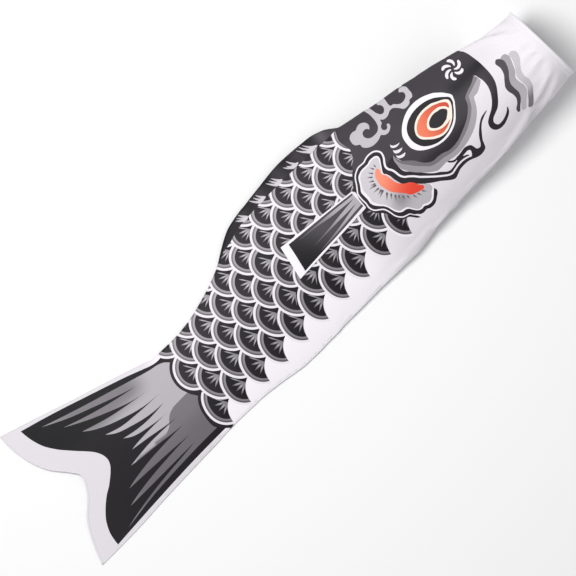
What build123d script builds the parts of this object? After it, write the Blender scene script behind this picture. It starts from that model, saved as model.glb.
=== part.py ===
"""Carp streamer: two printed cloth panels sewn into a tube, held open by a wire hoop.

It lies on its left side. +X runs towards the mouth, +Y towards the back of the fish,
+Z up, so the right side of the fish faces up. Millimetres.
"""
from build123d import *
from math import cos, degrees, hypot, pi, radians, sin
import os

os.makedirs("parts", exist_ok=True)

# ---------------------------------------------------------------- driving dimensions
MOUTH_X = 500.0            # centre of the mouth plane
MOUTH_Y = -14.4
MOUTH_R = 63.6             # outside radius of the cloth at the mouth
MOUTH_YAW = 3.2            # the mouth plane is turned this far about the vertical, degrees
YAW_FADES_AT = 290.0       # from here back the sections are square to X
WALL = 0.8                 # thickness of the cloth solids
EDGE_GROWTH = 3.0          # how much the wall widens towards a pointed edge
SECTION_POINTS = 16        # points across each half section

WIRE_R = 0.9               # spring wire of the hoop
SLEEVE_R = 1.4             # crimped sleeve that joins the wire's ends
SLEEVE_LENGTH = 16.0
WIRE_CLEARANCE = 0.02
TUNNEL_R = 1.6             # room inside the hem for wire and sleeve
TUNNEL_HALF = 1.9          # half the outside size of the hem's tunnel
TUNNEL_CENTRE_R = 63.0
HEM_LENGTH = 11.0          # from the mouth plane to the hem's sewn edge
STITCH_BACK = 6.5          # hem stitching, behind the mouth plane
STITCH_WIDE, STITCH_HIGH = 0.7, 0.3
HEM_BACK_X = MOUTH_X - HEM_LENGTH * cos(radians(MOUTH_YAW))
HEM_BACK_Y = MOUTH_Y - HEM_LENGTH * sin(radians(MOUTH_YAW))
AXIS_Z = TUNNEL_CENTRE_R + TUNNEL_HALF   # height of the mouth's centre

BODY_SWAY_X = -45.0        # fold lines of the cloth that stand for its swaying
TAIL_SWAY_X = -235.0
BODY_GAP = 10.0            # room at each fold line
TAIL_GAP = 7.0

SEAM_WIDE, SEAM_THICK = 1.0, 0.8         # sewn ridge along back and belly
MARGIN_WIDE, MARGIN_THICK = 4.0, 0.6     # flat unprinted margin beside the tail
TAIL_END_X = -506.0
TAIL_HEM = 6.0             # rolled hem on the forked end
FORK_CUT_HALF = 200.0      # half the width of the block that trims the tail to the fork
FORK_CUT_FRONT_X = -150.0  # the block's front end, in front of the tail
FORK_CUT_LOW, FORK_CUT_HIGH = -5.0, 35.0

FIN_THICK = 0.7
FIN_ROOT = ((145.2, 18.2), (142.9, -12.0))   # sewn edge of a side fin
FIN_END = ((10.7, 30.2), (3.8, -21.3))       # its loose end
FIN_BAND = 11.0            # white band across the loose end
FIN_CLEAR = 0.6            # between the fin and the cloth under it
FIN_Z_LEFT = 0.05          # the left fin lies flat under the streamer
FIN_SLOPE_BACK_X = -9.0    # the right fin lies along the body's crest between these two x
FIN_SLOPE_FRONT_X = 150.0
TAPE_LENGTH, TAPE_THICK = 5.0, 0.5           # folded allowance sewn down at a fin's root
TAPE_AWAY = 0.8            # from the fin's hinge line
TAPE_DROP_RIGHT = 0.15     # the right allowance sits this far below its fin's underside
TAPE_LIFT_LEFT = 0.1       # the left one this far above

# Cross-sections: x, belly y, back y, seam height, top height, bottom height, edge sharpness
# (1 is a round section, 2 comes to a point at the seams).
PROFILE = [
    (HEM_BACK_X, HEM_BACK_Y - MOUTH_R, HEM_BACK_Y + MOUTH_R, AXIS_Z,
     AXIS_Z + MOUTH_R, AXIS_Z - MOUTH_R, 1.00),
    (450.0, -84.0, 51.6, 61.5, 124.5, 1.2, 1.00),
    (397.0, -88.0, 61.2, 55.5, 114.0, 1.1, 1.00),
    (344.0, -94.0, 74.0, 46.5, 98.5, 1.1, 1.03),
    (291.0, -99.0, 83.6, 36.5, 82.0, 1.1, 1.10),
    (238.0, -103.0, 93.6, 26.5, 66.0, 1.1, 1.20),
    (190.0, -107.5, 104.2, 18.0, 51.5, 1.1, 1.32),
    (172.0, -110.5, 115.0, 16.0, 48.0, 1.1, 1.38),
    (150.0, -113.5, 121.0, 14.0, 45.0, 1.1, 1.45),
    (97.0, -113.5, 123.4, 10.0, 39.3, 1.1, 1.55),
    (44.0, -114.8, 117.6, 7.5, 33.8, 1.1, 1.60),
    (-9.0, -117.2, 109.6, 5.5, 28.6, 1.1, 1.65),
    (-27.0, -118.0, 105.2, 5.0, 26.8, 0.6, 1.65),
    (-45.0, -118.6, 96.0, 4.6, 25.0, 0.0, 1.65),
    (-62.0, -119.2, 85.2, 4.3, 23.4, 0.0, 1.65),
    (-80.0, -119.4, 73.8, 4.0, 21.8, 0.0, 1.65),
    (-97.0, -118.0, 66.4, 3.8, 20.4, 0.0, 1.65),
    (-133.0, -113.2, 53.8, 3.4, 18.0, 0.0, 1.65),
    (-168.0, -110.8, 44.8, 3.0, 15.9, 0.0, 1.65),
    (-203.0, -110.8, 41.4, 2.7, 14.2, 0.0, 1.65),
    (-239.0, -112.2, 41.6, 2.4, 12.8, 0.0, 1.65),
    (-256.0, -113.8, 46.6, 2.3, 12.2, 0.0, 1.70),
    (-291.0, -115.6, 57.0, 2.1, 10.8, 0.0, 1.70),
    (-362.0, -120.0, 77.2, 1.7, 8.0, 0.0, 1.70),
    (-433.0, -125.6, 98.4, 1.4, 5.2, 0.0, 1.70),
    (-506.0, -128.2, 119.4, 1.2, 2.6, 0.0, 1.70),
]

# Forked end of the tail: upper tip, notch and lower tip, with two points on each lobe's curve.
UPPER_TIP = (-484.0, 114.0)
UPPER_LOBE = [(-483.0, 83.0), (-466.0, 30.0)]
NOTCH = [(-444.0, 3.0), (-436.0, -9.0), (-446.0, -33.0)]
LOWER_LOBE = [(-476.0, -66.0), (-492.0, -96.0)]
LOWER_TIP = (-503.6, -127.6)


def station(x):
    """The cross-section's sizes at any x, straight between the rows of PROFILE."""
    rows = sorted(PROFILE)
    for low, high in zip(rows, rows[1:]):
        if low[0] <= x <= high[0]:
            share = (x - low[0]) / (high[0] - low[0])
            return [a + (b - a) * share for a, b in zip(low, high)]
    raise ValueError(f"no cross-section at {x}")


def stations_between(high, low):
    """The x of every cross-section of one stretch of the tube, both ends included."""
    inner = [row[0] for row in PROFILE if low + 1 < row[0] < high - 1]
    return [high] + inner + [low]


def placed(x, centre, lateral, z):
    """A point of a section, which is turned a little about the vertical near the mouth."""
    share = max((x - YAW_FADES_AT) / (HEM_BACK_X - YAW_FADES_AT), 0.0)
    yaw = radians(MOUTH_YAW) * share
    return Vector(x - lateral * sin(yaw), centre + lateral * cos(yaw), z)


def edge_width(x):
    """How wide the sewn edge outside the panels is."""
    return MARGIN_WIDE if x < TAIL_SWAY_X else SEAM_WIDE


def half_section(x, upper):
    """The face of one panel's cloth in one cross-section."""
    _, belly, back, seam_z, top, bottom, sharp = station(x)
    inset = edge_width(x)
    centre, half_width = (belly + back) / 2, (back - belly) / 2 - inset
    rise = top - seam_z if upper else bottom - seam_z
    wall = min(WALL, 0.55 * abs(rise))
    edge = wall * (1 + EDGE_GROWTH * (sharp - 1))
    sign = 1 if upper else -1

    def curve(width, height):
        points = []
        for i in range(SECTION_POINTS + 1):
            angle = pi * i / SECTION_POINTS
            lift = seam_z + height * max(sin(angle), 0.0) ** sharp
            points.append(placed(x, centre, -width * cos(angle), lift))
        return points

    outer = curve(half_width, rise)
    inner = curve(half_width - edge, rise - sign * wall)
    loop = Wire([
        Edge.make_spline(outer),
        Edge.make_line(outer[-1], inner[-1]),
        Edge.make_spline(inner[::-1]),
        Edge.make_line(inner[0], outer[0]),
    ])
    return Face(loop)


def panel(high, low, upper):
    """One panel of cloth between two x, as a thin shell."""
    return loft([half_section(x, upper) for x in stations_between(high, low)], ruled=True)


def seam(high, low, back_side):
    """The sewn edge along the back or the belly between two x."""
    faces = []
    for x in stations_between(high, low):
        _, belly, back, seam_z, _, bottom, _ = station(x)
        wide = edge_width(x)
        thick = MARGIN_THICK if x < TAIL_SWAY_X else SEAM_THICK
        centre, half_width = (belly + back) / 2, (back - belly) / 2
        sign = 1 if back_side else -1
        corners = [
            placed(x, centre, sign * lateral, seam_z + dz * thick / 2)
            for lateral, dz in (
                (half_width - wide, -1), (half_width, -1), (half_width, 1), (half_width - wide, 1)
            )
        ]
        faces.append(Face(Wire.make_polygon(corners, close=True)))
    return loft(faces, ruled=True)


# ---------------------------------------------------------------- mouth
def mouth_place():
    """The frame of the mouth: its axis along local Z, pointing out of the mouth."""
    yaw = radians(MOUTH_YAW)
    return Plane(
        origin=(MOUTH_X, MOUTH_Y, AXIS_Z),
        x_dir=(-sin(yaw), cos(yaw), 0),
        z_dir=(cos(yaw), sin(yaw), 0),
    )


def turned(profile, arc=360.0, start=0.0):
    """A profile drawn in radius and height, turned about the mouth's axis."""
    solid = revolve(Rot(0, 0, start) * (Plane.XZ * profile), Axis.Z, arc)
    return mouth_place() * solid


def mouth_hem():
    tunnel = Pos(TUNNEL_CENTRE_R, -TUNNEL_HALF) * RectangleRounded(
        2 * TUNNEL_HALF, 2 * TUNNEL_HALF, 0.9
    )
    band_length = HEM_LENGTH - 2 * TUNNEL_HALF + 0.6
    band = Pos(MOUTH_R - WALL / 2, -HEM_LENGTH + band_length / 2) * Rectangle(WALL, band_length)
    hole = Pos(TUNNEL_CENTRE_R, -TUNNEL_HALF) * Circle(TUNNEL_R)
    return turned(tunnel + band - hole)


def mouth_hoop():
    gap = degrees(0.4 / TUNNEL_CENTRE_R)
    wire = Pos(TUNNEL_CENTRE_R, -TUNNEL_HALF) * Circle(WIRE_R)
    return turned(wire, 360 - gap, -90 + gap / 2)


def hoop_sleeve():
    arc = degrees(SLEEVE_LENGTH / TUNNEL_CENTRE_R)
    tube = Circle(SLEEVE_R) - Circle(WIRE_R + WIRE_CLEARANCE)
    return turned(Pos(TUNNEL_CENTRE_R, -TUNNEL_HALF) * tube, arc, -90 - arc / 2)


def hem_stitching():
    thread = Pos(MOUTH_R + STITCH_HIGH / 2, -STITCH_BACK) * Rectangle(STITCH_HIGH, STITCH_WIDE)
    return turned(thread)


# ---------------------------------------------------------------- forked tail
def fork_region(back_off):
    """The plan of the tail in front of its forked end, drawn in by back_off."""
    points = [UPPER_TIP] + UPPER_LOBE + NOTCH + LOWER_LOBE + [LOWER_TIP]
    end = Edge.make_spline([Vector(x + back_off, y, 0) for x, y in points])
    first, last = end @ 0, end @ 1
    corners = [
        last,
        Vector(last.X, -FORK_CUT_HALF, 0),
        Vector(FORK_CUT_FRONT_X, -FORK_CUT_HALF, 0),
        Vector(FORK_CUT_FRONT_X, FORK_CUT_HALF, 0),
        Vector(first.X, FORK_CUT_HALF, 0),
        first,
    ]
    sides = [Edge.make_line(a, b) for a, b in zip(corners, corners[1:])]
    outline = Face(Wire([end] + sides))
    return extrude(Pos(0, 0, FORK_CUT_LOW) * outline, FORK_CUT_HIGH - FORK_CUT_LOW)


# ---------------------------------------------------------------- side fins
def crest_height(x, clearance):
    """Height of the line the right fin lies along, so far above the body's crest."""
    back, front = station(FIN_SLOPE_BACK_X)[4], station(FIN_SLOPE_FRONT_X)[4]
    slope = (front - back) / (FIN_SLOPE_FRONT_X - FIN_SLOPE_BACK_X)
    return back + clearance + (x - FIN_SLOPE_BACK_X) * slope


def fin_plan(near, far):
    """Four corners of the fin between two shares of its length, as plan points."""
    corners = []
    for (rx, ry), (ex, ey), order in ((FIN_ROOT[0], FIN_END[0], 0), (FIN_ROOT[1], FIN_END[1], 1)):
        ends = [(rx + (ex - rx) * s, ry + (ey - ry) * s) for s in (near, far)]
        corners += ends if order == 0 else ends[::-1]
    return corners


def flap(plan, height, thick):
    """A thin flap over a plan, with its underside at the given height for each x."""
    low = Wire.make_polygon([Vector(x, y, height(x)) for x, y in plan], close=True)
    return extrude(Face(low), thick, dir=(0, 0, 1))


def fin_solid(near, far, upper):
    """Part of a side fin, flat for the left fin and sloping for the right."""

    def height(x):
        return crest_height(x, FIN_CLEAR) if upper else FIN_Z_LEFT

    return flap(fin_plan(near, far), height, FIN_THICK)


def fin_tape(upper):
    """The fin's folded allowance, sewn to the panel in front of the hinge line."""
    (x0, y0), (x1, y1) = FIN_ROOT
    plan = [
        (x0 + TAPE_AWAY, y0), (x0 + TAPE_AWAY + TAPE_LENGTH, y0),
        (x1 + TAPE_AWAY + TAPE_LENGTH, y1), (x1 + TAPE_AWAY, y1),
    ]

    def height(x):
        if upper:
            return crest_height(x, FIN_CLEAR - TAPE_DROP_RIGHT)
        return FIN_Z_LEFT + TAPE_LIFT_LEFT

    return flap(plan, height, TAPE_THICK)


# ---------------------------------------------------------------- all nodes
def build():
    front = (HEM_BACK_X, BODY_SWAY_X + BODY_GAP / 2)
    rear = (BODY_SWAY_X - BODY_GAP / 2, TAIL_SWAY_X + TAIL_GAP / 2)
    tail = (TAIL_SWAY_X - TAIL_GAP / 2, TAIL_END_X)
    nodes = {
        "mouth_hem": mouth_hem(),
        "mouth_hoop": mouth_hoop(),
        "hoop_sleeve": hoop_sleeve(),
        "hem_stitching": hem_stitching(),
    }
    for side, upper in (("right", True), ("left", False)):
        nodes[f"{side}_front_panel"] = panel(*front, upper)
        nodes[f"{side}_rear_panel"] = panel(*rear, upper)
        whole = panel(*tail, upper)
        nodes[f"{side}_tail_panel"] = whole & fork_region(TAIL_HEM)
        nodes[f"{side}_tail_hem"] = (whole & fork_region(0)) - fork_region(TAIL_HEM)
        length = hypot(FIN_ROOT[0][0] - FIN_END[0][0], FIN_ROOT[0][1] - FIN_END[0][1])
        band = 1 - FIN_BAND / length
        nodes[f"{side}_fin"] = fin_solid(0, band, upper)
        nodes[f"{side}_fin_band"] = fin_solid(band, 1, upper)
        nodes[f"{side}_fin_root"] = fin_tape(upper)
    for edge, back_side in (("back", True), ("belly", False)):
        nodes[f"{edge}_seam_front"] = seam(*front, back_side)
        nodes[f"{edge}_seam_rear"] = seam(*rear, back_side)
        nodes[f"{edge}_seam_tail"] = seam(*tail, back_side) & fork_region(0)
    return nodes


def main():
    nodes = build()
    for name, shape in nodes.items():
        export_step(shape, f"parts/{name}.step")
    boxes = [shape.bounding_box() for shape in nodes.values()]
    low = [min(getattr(b.min, a) for b in boxes) for a in "XYZ"]
    high = [max(getattr(b.max, a) for b in boxes) for a in "XYZ"]
    print("low", [round(v, 2) for v in low], "high", [round(v, 2) for v in high])


main()
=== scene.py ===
"""Looks of the carp streamer: two printed satin panels sewn into a tube, with a hoop in the mouth hem,
two side fins and a forked, rolled tail hem.

Frame: +X towards the mouth, +Y towards the back of the fish, +Z up. The cloth and its print are
laid out in millimetres, as seen from above, and become metres when a mesh is made.
"""
import math

import bpy
import numpy as np
from mathutils import Matrix, Vector, geometry, kdtree


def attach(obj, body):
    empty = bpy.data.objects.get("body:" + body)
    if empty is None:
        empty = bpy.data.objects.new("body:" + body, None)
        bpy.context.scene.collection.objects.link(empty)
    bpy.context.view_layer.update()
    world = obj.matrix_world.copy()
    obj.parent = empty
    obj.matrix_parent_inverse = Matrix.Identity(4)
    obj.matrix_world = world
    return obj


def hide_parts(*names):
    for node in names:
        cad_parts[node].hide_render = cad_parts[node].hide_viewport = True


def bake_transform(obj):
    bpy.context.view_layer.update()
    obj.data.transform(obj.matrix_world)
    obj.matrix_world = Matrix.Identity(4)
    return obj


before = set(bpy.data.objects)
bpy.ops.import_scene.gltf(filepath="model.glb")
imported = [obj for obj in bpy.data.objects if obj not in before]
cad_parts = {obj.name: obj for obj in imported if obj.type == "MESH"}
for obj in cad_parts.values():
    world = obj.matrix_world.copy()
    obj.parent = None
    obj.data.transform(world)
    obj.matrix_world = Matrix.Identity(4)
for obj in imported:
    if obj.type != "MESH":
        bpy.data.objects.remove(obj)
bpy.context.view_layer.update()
MM = 0.001

# ---------------------------------------------------------------- stage
CAMERA_AT = (-0.0223, -0.0196, 18.96)
CAMERA_TURN = -43.44
LENS = 800.0
KEY_POWER, FILL_POWER, SKY = 59.5, 2.5, 0.39
FLOOR_SIZE, FLOOR_DROP = 14.0, 0.0004


def area_light(name, at, aim, size, power):
    light = bpy.data.lights.new(name, "AREA")
    light.shape = "DISK"
    light.size = size
    light.energy = power
    lamp = bpy.data.objects.new(name, light)
    lamp.location = at
    lamp.rotation_euler = (Vector(aim) - Vector(at)).to_track_quat("-Z", "Y").to_euler()
    bpy.context.scene.collection.objects.link(lamp)


def build_stage():
    scene = bpy.context.scene
    scene.view_settings.view_transform = "Standard"
    camera_data = bpy.data.cameras.new("camera")
    camera_data.lens = LENS
    camera_data.sensor_width = 36.0
    camera_data.clip_end = 100.0
    camera = bpy.data.objects.new("camera", camera_data)
    camera.location = CAMERA_AT
    camera.rotation_euler = (0.0, 0.0, math.radians(CAMERA_TURN))
    scene.collection.objects.link(camera)
    scene.camera = camera

    world = bpy.data.worlds.new("studio")
    world.use_nodes = True
    background = world.node_tree.nodes["Background"]
    background.inputs["Color"].default_value = (1.0, 1.0, 1.0, 1.0)
    background.inputs["Strength"].default_value = SKY
    scene.world = world
    area_light("key", (-0.25, 0.95, 2.62), (0.05, 0.0, 0.0), 1.5, KEY_POWER)
    area_light("fill", (1.6, -1.2, 2.4), (0.0, 0.0, 0.0), 2.0, FILL_POWER)

    bpy.ops.mesh.primitive_plane_add(size=FLOOR_SIZE, location=(0.0, 0.0, -FLOOR_DROP))
    floor = bpy.context.object
    floor.name = "floor"
    material, _, shader = blank_material("pale floor")
    shader.inputs["Base Color"].default_value = (0.93, 0.93, 0.935, 1.0)
    shader.inputs["Roughness"].default_value = 0.7
    shader.inputs["Specular IOR Level"].default_value = 0.2
    floor.data.materials.append(material)


# ---------------------------------------------------------------- shape of the tube
MOUTH_X, MOUTH_Y, MOUTH_R, MOUTH_YAW = 500.0, -14.4, 63.6, 3.2
YAW_FADES_AT = 290.0
AXIS_Z = 64.9
HEM_LENGTH = 11.0
HEM_BACK_X = MOUTH_X - HEM_LENGTH * math.cos(math.radians(MOUTH_YAW))
HEM_BACK_Y = MOUTH_Y - HEM_LENGTH * math.sin(math.radians(MOUTH_YAW))
SPLIT_X = -140.0           # the body cloth ends and the tail cloth begins, on the rear body
TAIL_X = -506.0
WALL = 0.35                # cloth as modelled

# x, belly y, back y, seam height, top height, bottom height, edge sharpness
PROFILE = [
    (-506.0, -128.2, 119.4, 1.2, 2.6, 0.0, 1.70),
    (-433.0, -125.6, 98.4, 1.4, 5.2, 0.0, 1.70),
    (-362.0, -120.0, 77.2, 1.7, 8.0, 0.0, 1.70),
    (-291.0, -115.6, 57.0, 2.1, 10.8, 0.0, 1.70),
    (-256.0, -113.8, 46.6, 2.3, 12.2, 0.0, 1.70),
    (-239.0, -112.2, 41.6, 2.4, 12.8, 0.0, 1.65),
    (-203.0, -110.8, 41.4, 2.7, 14.2, 0.0, 1.65),
    (-168.0, -110.8, 44.8, 3.0, 15.9, 0.0, 1.65),
    (-133.0, -113.2, 53.8, 3.4, 18.0, 0.0, 1.65),
    (-97.0, -118.0, 66.4, 3.8, 20.4, 0.0, 1.65),
    (-80.0, -119.4, 73.8, 4.0, 21.8, 0.0, 1.65),
    (-62.0, -119.2, 85.2, 4.3, 23.4, 0.0, 1.65),
    (-45.0, -118.6, 96.0, 4.6, 25.0, 0.0, 1.65),
    (-27.0, -118.0, 105.2, 5.0, 26.8, 0.6, 1.65),
    (-9.0, -117.2, 109.6, 5.5, 28.6, 1.1, 1.65),
    (44.0, -114.8, 117.6, 7.5, 33.8, 1.1, 1.60),
    (97.0, -113.5, 123.4, 10.0, 39.3, 1.1, 1.55),
    (150.0, -113.5, 121.0, 14.0, 45.0, 1.1, 1.45),
    (172.0, -110.5, 115.0, 16.0, 48.0, 1.1, 1.38),
    (190.0, -107.5, 104.2, 18.0, 51.5, 1.1, 1.32),
    (238.0, -103.0, 93.6, 26.5, 66.0, 1.1, 1.20),
    (291.0, -99.0, 83.6, 36.5, 82.0, 1.1, 1.10),
    (344.0, -94.0, 74.0, 46.5, 98.5, 1.1, 1.03),
    (397.0, -88.0, 61.2, 55.5, 114.0, 1.1, 1.00),
    (450.0, -84.0, 51.6, 61.5, 124.5, 1.2, 1.00),
    (HEM_BACK_X, HEM_BACK_Y - MOUTH_R, HEM_BACK_Y + MOUTH_R, AXIS_Z, AXIS_Z + MOUTH_R,
     AXIS_Z - MOUTH_R, 1.00),
]

# Forked end of the tail, from the upper tip over the notch to the lower tip.
FORK = [(-484.0, 114.0), (-483.0, 83.0), (-466.0, 30.0), (-444.0, 3.0), (-436.0, -9.0),
        (-446.0, -33.0), (-476.0, -66.0), (-492.0, -96.0), (-503.6, -127.6)]


def monotone(table_x, table_y, x):
    """Smooth curve through the table's points that never overshoots them."""
    step = np.diff(table_x)
    rise = np.diff(table_y) / step
    slope = np.zeros(len(table_x))
    both = rise[:-1] * rise[1:] > 0
    w1, w2 = 2 * step[1:] + step[:-1], step[1:] + 2 * step[:-1]
    with np.errstate(divide="ignore", invalid="ignore"):
        mean = (w1 + w2) / (w1 / rise[:-1] + w2 / rise[1:])
    slope[1:-1] = np.where(both, mean, 0.0)
    slope[0], slope[-1] = rise[0], rise[-1]
    x = np.clip(x, table_x[0], table_x[-1])
    i = np.clip(np.searchsorted(table_x, x) - 1, 0, len(step) - 1)
    t = (x - table_x[i]) / step[i]
    h00, h10 = (1 + 2 * t) * (1 - t) ** 2, t * (1 - t) ** 2
    h01, h11 = t * t * (3 - 2 * t), t * t * (t - 1)
    return (h00 * table_y[i] + h10 * step[i] * slope[i]
            + h01 * table_y[i + 1] + h11 * step[i] * slope[i + 1])


TABLE = np.array(PROFILE).T


def section(x):
    """Belly y, back y, seam, top and bottom heights and sharpness at each x."""
    return [monotone(TABLE[0], column, x) for column in TABLE[1:]]


def yaw_at(x):
    return np.radians(MOUTH_YAW) * np.clip((x - YAW_FADES_AT) / (HEM_BACK_X - YAW_FADES_AT), 0, 1)


def tube_point(x, t, upper):
    """Point of the tube before it is draped: t runs from 0 at the belly seam to 1 at the back seam."""
    belly, back, seam_z, top, bottom, sharp = section(x)
    lateral = -(back - belly) / 2 * np.cos(np.pi * t)
    rise = top - seam_z if upper else bottom - seam_z
    z = seam_z + rise * np.clip(np.sin(np.pi * t), 0, 1) ** sharp
    yaw = yaw_at(x)
    return np.stack([x - lateral * np.sin(yaw), (belly + back) / 2 + lateral * np.cos(yaw), z], -1)


def station_of(plan):
    """Station x and t of points given in plan."""
    x = plan[:, 0].copy()
    for _ in range(4):
        belly, back = section(x)[:2]
        lateral = (plan[:, 1] - (belly + back) / 2) / np.cos(yaw_at(x))
        x = plan[:, 0] + lateral * np.sin(yaw_at(x))
    t = np.arccos(np.clip(-lateral / ((back - belly) / 2), -1, 1)) / np.pi
    return x, t


class Arcs:
    """Arc length across one panel, for going between t and millimetres of cloth."""

    STEP, COUNT = 4.0, 181

    def __init__(self, upper):
        self.x = np.arange(TAIL_X - 4, HEM_BACK_X + 6, self.STEP)
        self.t = np.linspace(0, 1, self.COUNT)
        grid_x, grid_t = np.meshgrid(self.x, self.t, indexing="ij")
        points = tube_point(grid_x, grid_t, upper)
        self.length = np.concatenate([
            np.zeros((len(self.x), 1)),
            np.cumsum(np.linalg.norm(np.diff(points, axis=1), axis=2), axis=1)], axis=1)

    def rows(self, x):
        f = np.clip((x - self.x[0]) / self.STEP, 0, len(self.x) - 1.001)
        i = f.astype(int)
        share = (f - i)[:, None]
        return self.length[i] * (1 - share) + self.length[i + 1] * share

    def width(self, x):
        return self.rows(x)[:, -1]

    def along(self, x, t):
        rows, f = self.rows(x), np.clip(t, 0, 1) * (self.COUNT - 1)
        i = np.minimum(f.astype(int), self.COUNT - 2)
        k = np.arange(len(x))
        return rows[k, i] + (rows[k, i + 1] - rows[k, i]) * (f - i)

    def t_at(self, x, length):
        rows, k = self.rows(x), np.arange(len(x))
        i = np.clip((rows < length[:, None]).sum(1) - 1, 0, self.COUNT - 2)
        share = (length - rows[k, i]) / np.maximum(rows[k, i + 1] - rows[k, i], 1e-9)
        return (i + np.clip(share, 0, 1)) / (self.COUNT - 1)


ARCS = {True: Arcs(True), False: Arcs(False)}


def to_cloth(plan):
    """Plan points to flat cloth: station x, and millimetres across from the panel's middle."""
    x, t = station_of(plan)
    return np.stack([x, ARCS[True].along(x, t) - ARCS[True].width(x) / 2], 1)


def cloth_t(cloth):
    return ARCS[True].t_at(cloth[:, 0], cloth[:, 1] + ARCS[True].width(cloth[:, 0]) / 2)


# ---------------------------------------------------------------- drape
ROW_STEP, ACROSS = 6.0, 38
SETTLE_FRAMES = 30
FARTHEST = 8.0             # no point drapes further than this
SMOOTH_ROUNDS = 12         # the tail is smoothed this often, the body once
LEAST_Z, MOST_SAG = 0.03, 0.25
# Small creases behind the mouth: the line each follows, its half width and its height.
CREASES = [
    ("427,38 437,34 448,27", 2.6, 0.5), ("452,-6 462,-11 474,-13 486,-23", 2.4, 0.6),
    ("466,48 476,47 486,48.6", 1.8, -0.5), ("462,33 472,30 483,27", 2.6, -0.55),
    ("436,21 452,22 470,25", 4.5, 0.35), ("446,-36 464,-35 482,-29", 4.0, 0.4),
    ("440,-52 462,-50 484,-44", 4.0, 0.4), ("470,4 478,8 486,7", 2.6, 0.4)]


def crease_height(plan):
    """Height of the creases at points in plan, fading out at their ends."""
    height = np.zeros(len(plan))
    near = np.flatnonzero(plan[:, 0] > 405)
    if not len(near):
        return height
    x, y = plan[near, 0], plan[near, 1]
    for text, wide, high in CREASES:
        line = outline(text, 2.4, closed=False)
        off = y - np.interp(x, line[:, 0], line[:, 1])
        start, end = line[0, 0], line[-1, 0]
        ends = ease((x - start + 5) / 9) * ease((end + 5 - x) / 9)
        height[near] += high * np.exp(-(off / wide) ** 2) * ends
    ripple = 0.16 * np.sin(x / 8.5 + 0.4 * np.sin(y / 11)) * np.sin(y / 14 + x / 31)
    height[near] += ripple * ease((x - 410) / 30) * ease((491 - x) / 8)
    return height


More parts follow.
